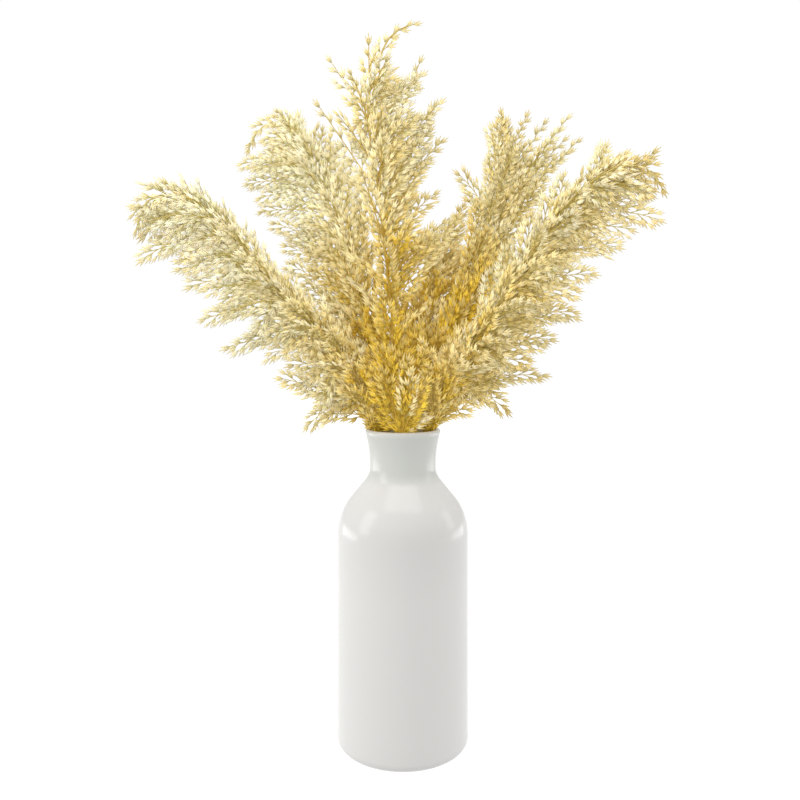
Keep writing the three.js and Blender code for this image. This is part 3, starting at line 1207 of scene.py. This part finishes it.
    def _share_at(self, height: float) -> float:
        """The share of the stem at which it climbs past a height.

        Args:
            height: The height in millimetres.

        Returns:
            The share.
        """
        heights, lengths = self.line.points[:, 2], self.line.lengths
        above = np.nonzero(heights > height * MM)[0][0]
        low, high = heights[above - 1], heights[above]
        part = (height * MM - low) / (high - low)
        place = lengths[above - 1] + part * (lengths[above] - lengths[above - 1])
        return float(place / self.line.length)

    def _root_share(self, tip: np.ndarray, taken: list[float], degrees: float) -> float:
        """The free share of the stem at which a line to a tip leaves it at an angle.

        Args:
            tip: The tip.
            taken: The shares that are no longer free, to which the new one is added.
            degrees: The angle.

        Returns:
            The share.
        """
        shares = np.arange(self._first_share(), self.last_shoot, self.root_gap)
        costs = []
        for share in shares:
            towards = unit(tip - self.line.at(share))
            angle = math.acos(float(np.clip(np.dot(towards, self.line.heading(share)), -1, 1)))
            crowding = sum(abs(root - share) < self.root_gap for root in taken)
            costs.append(abs(angle - math.radians(degrees)) + crowding)
        best = float(shares[int(np.argmin(costs))])
        taken.append(best)
        return best

    def _leave_angle_for(self, tip: np.ndarray) -> float:
        """The angle at which a shoot to a tip leaves: wider on the underside of the stem."""
        nearest = self.line.points[int(np.argmin(np.linalg.norm(self.line.points - tip, axis=1)))]
        return self.leave_angle + self.hanging_turn * max(0.0, -float(unit(tip - nearest)[2]))

    def _is_clear(self, points: np.ndarray) -> bool:
        """Whether points stay off the vase's lip and neck.

        Args:
            points: The points, one row each.

        Returns:
            True if all of them do.
        """
        reach = np.hypot(points[:, 0], points[:, 1]) / MM
        height = points[:, 2] / MM
        low = height < self.lip_keep_out
        meets_wall = (reach > VASE.inside_at(height) - self.wall_gap) & (reach < self.keep_out)
        too_deep = height < self.deepest_sprig
        return not bool(np.any(low & (meets_wall | too_deep & (reach < self.keep_out))))

    def _grow(self, share: float, tip: np.ndarray) -> Route:
        """The curve of a shoot from the stem to a tip.

        Args:
            share: The share of the stem at which it grows.
            tip: The tip.

        Returns:
            The curve, which first follows the stem a little.
        """
        root = self.line.at(share)
        start = unit(self.bow * self.line.heading(share) + unit(tip - root))
        length = float(np.linalg.norm(tip - root))
        return bent_route(root, root + start * length * 0.5, tip)

    def _flat(self, route: Route, outward: Sequence[float] = FRONT, **habit: float) -> Shoot:
        """A shoot whose flat side looks to the front, or to another side.

        Args:
            route: The shoot's curve.
            outward: The side that it looks to.
            **habit: Other values of the shoot.

        Returns:
            The shoot.
        """
        return Shoot(route, unit(np.cross(route.heading(0.5), outward)), **habit)

    def shoots(self) -> list[Shoot]:
        """All the shoots of the spray.

        Returns:
            The top of the stem, the shoots at the spray's edge and the ones between them.
        """
        self.chance = np.random.default_rng(self.seed)
        top = Route(self.line.part(self.top_shoot, 1, 14))
        grown = [self._flat(top, longest=self.top_sprig, spacing=self.top_spacing)]
        taken: list[float] = []
        for tip in np.array(self.tips) * MM:
            share = self._root_share(tip, taken, self._leave_angle_for(tip))
            tip += unit(self.line.at(share) - tip) * self.tip_inset * MM
            grown.append(self._flat(self._grow(share, tip)))
            grown.extend(self._companions(share, tip))
        for tip in np.array(self.lone) * MM:
            root = self.line.at(self._root_share(tip, [], self.lone_angle))
            route = bent_route(root, (root + tip) / 2, tip)
            grown.append(self._flat(route, longest=self.lone_sprig, spacing=self.lone_spacing))
        grown.extend(self._hanging_shoots())
        for tip in np.array(self.fans) * MM:
            route = self._grow(self._share_at(self.rim_height - self.fan_sink), tip)
            grown.append(self._flat(route, fade=0.35, first=0.3, longest=15.0, spacing=3.9))
        grown.extend(self._collar_shoots())
        grown.extend(self._filler_shoots())
        for shoot in grown:
            shoot.tone = self.chance.uniform(*self.tones)
            shoot.longest = min(shoot.longest, self.longest_sprig)
            shoot.fade += self.chance.uniform(*self.fades)
        return grown

    def _hanging_shoots(self) -> list[Shoot]:
        """Shoots that follow the stem's arched top and then hang from it.

        Returns:
            One shoot for each hanging tip.
        """
        grown = []
        for tip in np.array(self.hanging) * MM:
            angle = self.hanging_angle + self.chance.uniform(*self.hanging_spread)
            share = self._root_share(tip, [], angle)
            root, tangent = self.line.at(share), self.line.heading(share)
            tip += unit(root - tip) * self.hanging_inset * MM
            length = float(np.linalg.norm(tip - root))
            start = unit(self.hanging_bow * tangent + unit(tip - root))
            bend = root + start * length * self.hanging_bend
            grown.append(self._flat(bent_route(root, bend, tip)))
        return grown

    def _collar_shoots(self) -> list[Shoot]:
        """Short shoots that fan out of the mouth close along the stem.

        Returns:
            The shoots that stay off the vase.
        """
        grown = []
        for i in range(self.collar):
            height = self.rim_height - self.collar_sink + self.collar_step * i
            share = self._share_at(height)
            turn = i * self.golden_angle + self.chance.uniform(*self.collar_turn)
            angle = self.chance.uniform(*self.collar_angle)
            heading = leaving(self.line.heading(share), angle, turn)
            length = self.chance.uniform(*self.collar_length) * MM
            route = self._grow(share, self.line.at(share) + heading * length)
            if self._is_clear(route.points[1:]):
                grown.append(self._flat(route, first=0.02, longest=15.0, spacing=3.4))
        return grown

    def _companions(self, share: float, tip: np.ndarray) -> list[Shoot]:
        """Shoots that follow an edge shoot a little inside the spray's outline.

        Args:
            share: The share of the stem at which the edge shoot grows.
            tip: The edge shoot's tip.

        Returns:
            The companions that stay off the vase.
        """
        grown = []
        for i in range(self.companions):
            above = share + self.companion_start + self.companion_step * i
            root_share = min(self.last_shoot, above + self.chance.uniform(*self.companion_shift))
            root, tangent = self.line.at(root_share), self.line.heading(root_share)
            length = float(np.linalg.norm(tip - root))
            towards = turned(tip - root, tangent, self.chance.uniform(*self.companion_turn))
            place = root + towards * self.chance.uniform(*self.companion_reach)
            place += self.chance.uniform(-self.companion_stray, self.companion_stray, 3) * length
            route = self._grow(root_share, place)
            if self._is_clear(route.points[2:]):
                grown.append(self._flat(route))
        return grown

    def _filler_shoots(self) -> list[Shoot]:
        """Shoots set round the stem by the golden angle, longer below it than above it.

        Returns:
            The shoots that stay off the vase.
        """
        grown = []
        first = self._first_share()
        for i in range(self.fillers):
            along = (i + 0.5) / self.fillers
            share = first + (self.last_shoot - first) * along**self.filler_crowding
            tangent = self.line.heading(share)
            turn = i * self.golden_angle + self.chance.uniform(*self.filler_turn)
            angle = self.filler_angle + self.chance.uniform(*self.filler_spread)
            heading = leaving(tangent, angle, turn)
            lying = math.hypot(tangent[0], tangent[1])
            hanging = 0.5 - 0.5 * (heading[2] - tangent[2]) / math.sin(math.radians(angle))
            length = float(np.interp(along, (0, 0.5, 1), self.reach)) * MM
            length *= self.chance.uniform(*self.filler_reach)
            length *= 1 + self.deepening * abs(float(unit(heading - tangent)[1]))
            length *= 1 - lying * self.upper_loss * (1 - hanging)
            tip = self.line.at(share) + heading * length
            tip[2] -= (self.droop + self.lying_droop * lying) * length
            route = self._grow(share, tip)
            if self._is_clear(route.points[2:]):
                grown.append(self._flat(route, heading - tangent))
        return grown

    def branches(self, shoots: list[Shoot]) -> list[Branch]:
        """The sprigs' branches along the stem and all the shoots.

        Args:
            shoots: The shoots.

        Returns:
            The branches that stay off the vase.
        """
        self.chance = np.random.default_rng(self.seed + 1)
        grown = self._spine_branches()
        for shoot in shoots:
            longest = min(shoot.longest, shoot.route.length / MM * self.sprig_share)
            count = max(3, round(shoot.route.length * (1 - shoot.first) / (shoot.spacing * MM)))
            for i in range(count + 1):
                share = shoot.first + (1 - shoot.first) * i / count
                tapered = longest * (1 - share) ** self.sprig_taper
                wanted = tapered * self.chance.uniform(*self.sprig_length)
                angle = self.sprig_angle - self.sprig_closing * share
                angle += self.chance.uniform(*self.sprig_spread)
                turn = (i % 2) * 180 + self.chance.uniform(*self.sprig_turn)
                side = turned(shoot.facing, shoot.route.heading(share), turn)
                branch = self._branch(shoot.route, share, side, wanted, angle)
                if branch is not None:
                    tone = shoot.tone + self.chance.uniform(*self.sprig_tone)
                    branch.tone = min(1.0, max(0.0, tone))
                    branch.depth *= 1 - shoot.fade
                    grown.append(branch)
        return grown

    def _spine_branches(self) -> list[Branch]:
        """Sprigs set straight on the stem, so close that they hide it.

        Returns:
            The branches that stay off the vase.
        """
        lowest = self._share_at(self.rim_height - self.collar_sink)
        spine = Route(self.line.part(lowest, 1, 60))
        grown = []
        count = round(spine.length / (self.spine_spacing * MM))
        for i in range(round(count * self.spine_end)):
            share = i / count
            bundled = spine.at(share)[2] < self.bundle_height * MM
            for k in range(self.bundle if bundled else 1):
                turn = (i + k / self.bundle) * self.golden_angle
                side = leaving(spine.heading(share), 90, turn)
                tapered = self.spine_sprig * (1 - share**3)
                wanted = tapered * self.chance.uniform(*self.spine_length)
                angle = (self.bundle_closing if bundled else 1) * self.spine_angle
                angle += self.chance.uniform(*self.spine_spread)
                branch = self._branch(spine, share, side, wanted, angle)
                if branch is not None:
                    branch.end **= 4  # only the very top of the stem counts as a shoot's end
                    grown.append(branch)
        return grown

    def _branch(
        self, shoot: Route, share: float, side: np.ndarray, wanted: float, angle: float
    ) -> Branch | None:
        """One branch of a shoot.

        Args:
            shoot: The curve that the branch grows on.
            share: Where on that curve it grows.
            side: The direction that it leaves to.
            wanted: The length that it would best have, in millimetres.
            angle: The angle between the curve and the branch.

        Returns:
            The branch, or nothing if it would meet the vase.
        """
        root, heading = shoot.at(share), shoot.heading(share)
        pattern = int(np.argmin([abs(length - wanted) for length in PATTERN_LENGTHS]))
        length = PATTERN_LENGTHS[pattern] * self.chance.uniform(*self.pattern_stretch) * MM
        side = unit(side - heading * float(np.dot(side, heading)))
        lean = angle if share < 0.999 else 0.0  # the last sprig carries the shoot on
        start = turned(heading, unit(np.cross(heading, side)), lean)
        end = unit(start + self.closing_in * heading - np.array((0, 0, self.sagging * share)))
        bend = root + start * length * 0.5
        tip = bend + end * length * 0.5
        if not self._is_clear(np.array((bend, tip, tip + end * self.sprig_overhang * MM))):
            return None
        # the golden tone, dye and painted shade, grows close to the stem and in the bouquet's
        # middle
        nearest = float(np.min(np.linalg.norm(self.line.points - tip, axis=1)))
        depth = self.inner_gold * (1 - min(1.0, nearest / (self.inner_reach * MM)))
        depth += float(self._goldness(tip[None])[0])
        return Branch(pattern, root, bend, tip, side, depth, self.chance.uniform(0, 1), share)

    def _goldness(self, places: np.ndarray) -> np.ndarray:
        """How golden the florets are, partly from dye and partly as painted shade: most in the
        middle of the bouquet.

        Args:
            places: The places, one row each.

        Returns:
            The strength of the golden tone, dye and painted shade, at each of them.
        """
        gold = np.full(len(places), self.gold)
        for middle, reach, strength in (
            (self.heart, self.heart_reach, self.heart_gold),
            (self.mouth, self.mouth_reach, self.mouth_gold),
        ):
            away = (places - np.array(middle) * MM)[:, [0, 2]]
            far = np.linalg.norm(away, axis=1) / (reach * MM)
            gold += strength * np.exp(-(far**2))
        return gold

    def build(
        self,
        patterns: Sequence[SprigPattern],
        plastic: bpy.types.Material,
        coat: bpy.types.Material,
    ) -> list[bpy.types.Object]:
        """Builds the spray's stalk and its florets.

        Args:
            patterns: The sprigs, from the shortest to the longest.
            plastic: The finish of the florets.
            coat: The finish of the stem, the shoots and the twigs.

        Returns:
            The stalk and the florets.
        """
        self.line = self.stem()
        shoots = self.shoots()
        tubes = [(self.line.part(0, 1, 60), self.stem_radius * MM, self.stem_tip_radius * MM)]
        for shoot in shoots[1:]:
            points = shoot.route.part(0, 1, 7)
            tubes.append((points, self.shoot_radius * MM, self.shoot_tip_radius * MM))
        stalk = tube_mesh(f"{self.name}_stalk", tubes, 6)
        stalk.data.materials.append(coat)
        bpy.ops.object.shade_smooth()
        corners = np.array([vertex.co for vertex in stalk.data.vertices])
        # the stalk takes the same golden tone of dye and painted shade
        layer = stalk.data.attributes.new("depth", "FLOAT", "POINT")
        layer.data.foreach_set("value", self._goldness(corners) + self.stem_gold)
        florets = self._press_all(patterns, self.branches(shoots), plastic, coat)
        return [stalk, florets]

    def _press_all(
        self,
        patterns: Sequence[SprigPattern],
        branches: Sequence[Branch],
        plastic: bpy.types.Material,
        coat: bpy.types.Material,
    ) -> bpy.types.Object:
        """Presses every sprig of the spray into one mesh, with the values that its dyes read.

        Args:
            patterns: The sprigs.
            branches: The branches, in the order in which they grew.
            plastic: The finish of the florets.
            coat: The finish of the twigs.

        Returns:
            The florets.
        """
        corners, triangles, finish = [], [], []
        layers: dict[str, list[np.ndarray]] = {
            name: [] for name in ("along", "out", "depth", "tone", "end")
        }
        count = 0
        for number, pattern in enumerate(patterns):
            members = [branch for branch in branches if branch.pattern == number]
            if not members:
                continue
            places, faces = pattern.press(members)
            corners.append(places)
            triangles.append(faces + count)
            count += len(places)
            finish.append(np.tile(pattern.finish, len(members)))
            for name in ("along", "out"):
                layers[name].append(np.tile(getattr(pattern, name), len(members)))
            for name in ("depth", "tone", "end"):
                values = [getattr(branch, name) for branch in members]
                layers[name].append(np.repeat(values, len(pattern.corners)))
        mesh = bpy.data.meshes.new(f"{self.name}_florets")
        mesh.from_pydata(np.concatenate(corners), [], np.concatenate(triangles))
        mesh.polygons.foreach_set("material_index", np.concatenate(finish))
        for name, values in layers.items():
            layer = mesh.attributes.new(name, "FLOAT", "POINT")
            layer.data.foreach_set("value", np.concatenate(values))
        mesh.materials.append(plastic)
        mesh.materials.append(coat)
        mesh.shade_smooth()
        piece = bpy.data.objects.new(mesh.name, mesh)
        bpy.context.scene.collection.objects.link(piece)
        return piece


SPRAYS = (
    Spray(
        "spray_left_low",
        Tint.PALE,
        leaves_mouth_at=190,
        seed=11,
        reach=(38, 36, 24),
        route=(
            (-31, -11, 285), (-48, -19, 315), (-71, -28, 342), (-104, -37, 376), (-133, -48, 413),
            (-152, -54, 428), (-172, -58, 435), (-189, -61, 430), (-196, -63, 412),
        ),
        tips=(
            (-201, -60, 427), (-169, -55, 381), (-162, -50, 368),
            (-154, -45, 343), (-136, -41, 322),
            (-97, -25, 298), (-80, -22, 292), (-79, -15, 257), (-178, -56, 446), (-150, -50, 366),
            (-136, -46, 348), (-120, -38, 328), (-105, -32, 317), (-88, -30, 308), (-72, -26, 296),
            (-62, -20, 268),
        ),
        hanging=(
            (-200, -60, 423), (-199, -62, 413), (-199, -62, 402),
            (-200, -60, 387), (-186, -54, 396),
            (-178, -66, 400), (-190, -50, 406), (-166, -54, 394),
            (-158, -62, 402), (-172, -56, 388),
            (-166, -60, 380), (-150, -56, 390), (-180, -58, 412), (-140, -50, 380),
        ),
        spine_sprig=25.0,
        spine_angle=40.0,
        spine_end=0.93,
        heart_gold=0.42,
    ),
    Spray(
        "spray_left_high",
        Tint.PALE,
        leaves_mouth_at=140,
        seed=23,
        reach=(38, 42, 28),
        route=(
            (-21, 20, 290), (-30, 30, 345), (-46, 45, 403), (-62, 56, 446), (-77, 63, 480),
            (-93, 70, 508), (-112, 76, 520), (-129, 80, 516), (-138, 81, 501),
        ),
        tips=(
            (-148, 78, 485), (-117, 74, 527), (-94, 70, 526), (-131, 75, 453), (-129, 70, 440),
            (-115, 62, 430), (-102, 60, 420), (-104, 60, 410), (-100, 50, 394), (-64, 65, 494),
            (-84, 50, 404), (-86, 44, 374), (-70, 36, 354), (-56, 28, 336), (-62, 40, 380),
        ),
        hanging=(
            (-150, 76, 468), (-143, 72, 484), (-136, 76, 506), (-131, 80, 496), (-121, 70, 498),
            (-113, 74, 507), (-143, 66, 478), (-128, 84, 480), (-127, 68, 486), (-116, 78, 484),
            (-107, 64, 488), (-100, 80, 476), (-112, 60, 474), (-98, 70, 492), (-118, 76, 474),
        ),
        hanging_inset=15.0,
        top_sprig=12.0,
        spine_end=0.8,
        lone_sprig=8.0,
        lone=(
            (-72, 68, 508), (-64, 62, 500), (-51, 58, 487), (-45, 54, 477), (-38, 50, 464),
            (-35, 46, 448), (-32, 42, 432), (-58, 60, 493),
        ),
        heart_gold=0.9,
    ),
    Spray(
        "spray_centre",
        Tint.GOLDEN,
        leaves_mouth_at=268,
        seed=37,
        reach=(38, 60, 30),
        route=(
            (-4, -28, 295), (-9, -28, 350), (-15, -26, 405), (-21, -24, 456), (-26, -22, 487),
            (-27, -20, 518), (-20, -19, 542), (-13, -18, 562), (-4, -18, 571), (6, -18, 575),
        ),
        tips=(
            (17, -18, 540), (30, -20, 517), (23, -22, 496), (33, -20, 487), (28, -15, 447),
            (46, -12, 428), (8, -20, 534), (20, -22, 470), (34, -14, 424), (-40, -22, 486),
            (0, -20, 530), (22, -18, 510), (14, -20, 528), (26, -16, 517),
        ),
        tip_inset=9.0,
        leave_angle=42.0,
        hanging_turn=0.0,
        fans=(
            (-27, -45, 306), (-15, -46, 300), (6, -47, 300), (16, -46, 292), (-15, -15, 264),
            (-10, -19, 269), (-19, -12, 270), (13, -15, 264), (9, -19, 269), (18, -12, 270),
            (-6, -22, 274), (5, -22, 275), (0, -22, 263), (-7, -21, 261), (7, -21, 261),
            (-14, -17, 260), (14, -17, 260), (-3, -21, 258), (4, -21, 258),
        ),
        lone=((-55, -20, 543), (-64, -22, 507), (-27, -20, 556), (12, -20, 542)),
        lone_sprig=11.0,
        lone_spacing=7.5,
        top_spacing=5.4,
        spine_end=0.75,
        spine_spacing=3.4,
        stem_gold=0.4,
        longest_sprig=17.0,
        gold=0.14,
        heart_gold=0.85,
        fillers=24,
        top_sprig=12.0,
        spine_sprig=9.0,
    ),
    Spray(
        "spray_right_high",
        Tint.PALE,
        leaves_mouth_at=38,
        seed=41,
        reach=(36, 42, 24),
        route=(
            (25, 22, 290), (42, 38, 334), (61, 52, 376), (77, 62, 413), (90, 70, 444),
            (97, 76, 473), (95, 80, 501), (91, 83, 526),
        ),
        tips=(
            (80, 76, 517), (112, 80, 529), (86, 78, 523), (124, 60, 459), (78, 72, 490),
            (65, 55, 443), (134, 66, 488), (130, 68, 496),
        ),
        hanging=((47, 60, 478), (55, 62, 455)),
        lone=(
            (125, 75, 516), (145, 70, 520), (153, 68, 499), (136, 72, 508), (143, 66, 488),
            (141, 70, 500),
        ),
        gold=0.17,
        heart_gold=0.78,
        lone_sprig=7.0,
        lone_spacing=5.5,
        leave_angle=24.0,
        filler_angle=26.0,
    ),
    Spray(
        "spray_right_low",
        Tint.PALE,
        leaves_mouth_at=-12,
        seed=53,
        reach=(38, 38, 24),
        route=(
            (32, -13, 286), (53, -22, 321), (78, -31, 359), (107, -41, 405), (126, -47, 431),
            (145, -52, 448), (164, -56, 456), (181, -60, 454), (190, -62, 441),
        ),
        tips=(
            (155, -45, 475), (168, -48, 469), (188, -55, 469), (172, -52, 411), (163, -50, 398),
            (145, -45, 378), (134, -38, 349), (117, -32, 328), (113, -22, 300), (85, -12, 270),
            (53, -20, 273), (64, -24, 284), (152, -50, 398), (134, -42, 366), (120, -36, 346),
            (108, -30, 324), (100, -26, 312), (86, -22, 299), (72, -18, 276),
        ),
        hanging=(
            (197, -62, 417), (190, -54, 434), (180, -66, 440), (166, -52, 436), (186, -70, 433),
            (193, -58, 440), (188, -52, 448), (160, -66, 430), (172, -60, 424),
        ),
        lone=(
            (82, -32, 396), (98, -36, 418), (112, -40, 436), (122, -42, 448), (70, -28, 378),
        ),
        gold=0.19,
        heart_gold=0.22,
        top_sprig=14.0,
        spine_end=0.93,
    ),
    Spray(
        "spray_back",
        Tint.GOLDEN,
        leaves_mouth_at=85,
        seed=67,
        reach=(42, 58, 30),
        route=(
            (7, 36, 291), (18, 60, 334), (29, 80, 372), (39, 94, 404), (48, 103, 430),
            (55, 108, 446),
        ),
        tips=((25, 85, 416), (71, 90, 402), (-18, 80, 392), (20, 118, 380)),
        gold=0.3,
        heart_gold=0.4,
    ),
)


# --------------------------------------------------------------------------- the studio


@dataclass
class Studio:
    """A white table and a white surround under soft light, with the camera in front of the vase."""

    camera_place: Point = (-0.00235, -0.690, 0.3368)
    lens_mm: float = 38.25
    sensor_mm: float = 36.0
    shift_up: float = -0.0919
    wall_light: float = 0.76
    ceiling_lift: float = 0.2
    left_lift: float = 0.04
    seen_light: float = 1.02  # the surround as the camera sees it
    plume_middle: Point = (0.0, 0.0, 0.46)
    lamps: Sequence[tuple[str, Point, float]] = (  # name, place and watts
        ("front_lamp", (-0.2, -1.15, 0.35), 18.3),
        ("left_lamp", (-0.9, -0.5, 0.75), 7.4),
        ("right_lamp", (0.9, -0.5, 0.65), 6.4),
        ("back_lamp", (0.2, 0.9, 0.8), 5.0),
    )
    lamp_size: float = 0.3
    lamp_cone: float = 60.0
    lamp_blend: float = 0.6
    vase_middle: Point = (0.0, 0.0, 0.2)
    boxes: Sequence[tuple[str, Point, float, float, float]] = (  # the same, width and height
        ("overhead_box", (0.0, -0.38, 1.3), 2.7, 1.2, 0.5),
        ("left_box", (-1.04, -0.35, 0.65), 2.5, 0.45, 0.9),
        ("right_box", (1.13, 0.1, 0.57), 0.8, 0.3, 0.6),
        ("left_card", (-0.97, 0.26, 0.09), 1.1, 0.8, 0.16),
        ("right_card", (0.94, 0.34, 0.09), 0.7, 0.7, 0.16),
    )
    table_size: float = 8.0
    table_height: float = -0.0004

    def build(self, plumes: Sequence[bpy.types.Object]) -> list[bpy.types.Object]:
        """Sets up the floor, the lights and the camera.

        Args:
            plumes: The pieces that have lamps of their own.

        Returns:
            The stage pieces.
        """
        self._world()
        self._camera()
        self._lamps(plumes)
        self._softboxes()
        return [self._table()]

    def _camera(self) -> None:
        """The camera, level with the lower plumes."""
        data = bpy.data.cameras.new("studio_camera")
        data.lens = self.lens_mm
        data.sensor_width = self.sensor_mm
        data.shift_y = self.shift_up
        camera = bpy.data.objects.new("studio_camera", data)
        camera.location = self.camera_place
        camera.rotation_euler = (math.radians(90), 0, 0)
        bpy.context.scene.collection.objects.link(camera)
        bpy.context.scene.camera = camera

    def _world(self) -> None:
        """A white surround that lights the vase from above more than from the sides."""
        world = bpy.data.worlds.new("white_room")
        world.use_nodes = True
        tree = world.node_tree
        place = add_node(tree, "TexCoord", output="Generated")
        lift = {0: place, 1: (-self.left_lift, 0, self.ceiling_lift)}
        slant = add_node(tree, "VectorMath", lift, "Value", operation="DOT_PRODUCT")
        dome = add_node(tree, "Math", {0: slant, 1: self.wall_light}, operation="ADD")
        seen = add_node(tree, "LightPath", output="Is Camera Ray")
        levels = {FACTOR: seen, NUMBER_A: dome, NUMBER_B: self.seen_light}
        strength = add_node(tree, "Mix", levels, data_type="FLOAT")
        feed(tree, tree.nodes["Background"], {"Color": linear("#FFFFFF"), "Strength": strength})
        bpy.context.scene.world = world
        bpy.context.scene.view_settings.view_transform = "Standard"

    def _hang(
        self, name: str, kind: str, place: Point, watts: float, aim: Point
    ) -> bpy.types.Object:
        """Hangs a light in its place and turns it to what it lights.

        Args:
            name: Its name.
            kind: Its kind, as lights are called in code.
            place: Its place.
            watts: Its power.
            aim: The place that it looks at.

        Returns:
            The light.
        """
        data = bpy.data.lights.new(name, kind)
        data.energy = watts
        light = bpy.data.objects.new(name, data)
        light.location = place
        towards = Vector(aim) - Vector(place)
        light.rotation_euler = towards.to_track_quat("-Z", "Y").to_euler()
        bpy.context.scene.collection.objects.link(light)
        return light

    def _lamps(self, plumes: Sequence[bpy.types.Object]) -> None:
        """Soft lamps that are flagged off the vase, so that only the plumes catch them.

        Args:
            plumes: The pieces that the lamps light.
        """
        lit = bpy.data.collections.new("lit_plumes")
        for piece in plumes:
            lit.objects.link(piece)
        for name, place, watts in self.lamps:
            lamp = self._hang(name, "SPOT", place, watts, self.plume_middle)
            lamp.data.shadow_soft_size = self.lamp_size
            lamp.data.spot_size = math.radians(self.lamp_cone)
            lamp.data.spot_blend = self.lamp_blend
            lamp.visible_glossy = False
            lamp.light_linking.receiver_collection = lit

    def _softboxes(self) -> None:
        """Softboxes and low white cards round the vase, which leave their shapes in the glaze."""
        for name, place, watts, width, height in self.boxes:
            box = self._hang(name, "AREA", place, watts, self.vase_middle)
            box.data.shape = "RECTANGLE"
            box.data.size = width
            box.data.size_y = height

    def _table(self) -> bpy.types.Object:
        """The table top, under its paper cover.

        Returns:
            The table top.
        """
        deselect()
        bpy.ops.mesh.primitive_plane_add(size=self.table_size, location=(0, 0, self.table_height))
        table = bpy.context.object
        table.name = "white_table"
        table.visible_diffuse = False
        table.data.materials.append(WhitePaper().build())
        return table


# --------------------------------------------------------------------------- putting it together


def main() -> None:
    """Builds the vase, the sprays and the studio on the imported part."""
    logging.basicConfig(level=logging.INFO, format="%(name)s: %(message)s")
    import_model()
    vase = VASE.build(GlazedStoneware().build(), BareStoneware().build())
    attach(vase, BODY)
    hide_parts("vase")
    LOG.info("vase_wall: %d faces", len(vase.data.polygons))
    plastic = MouldedFlorets().build()
    coat = CoatedStem().build()
    patterns = [Sprig(count).build(plastic, coat) for count in SPRIG_FLORETS]
    plumes = []
    for spray in SPRAYS:
        for piece in spray.build(patterns, plastic, coat):
            plumes.append(piece)
            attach(piece, BODY)
            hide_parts(spray.name)
            LOG.info("%s: %d faces", piece.name, len(piece.data.polygons))
    for piece in Studio().build(plumes):
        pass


if __name__ == "__main__":
    main()
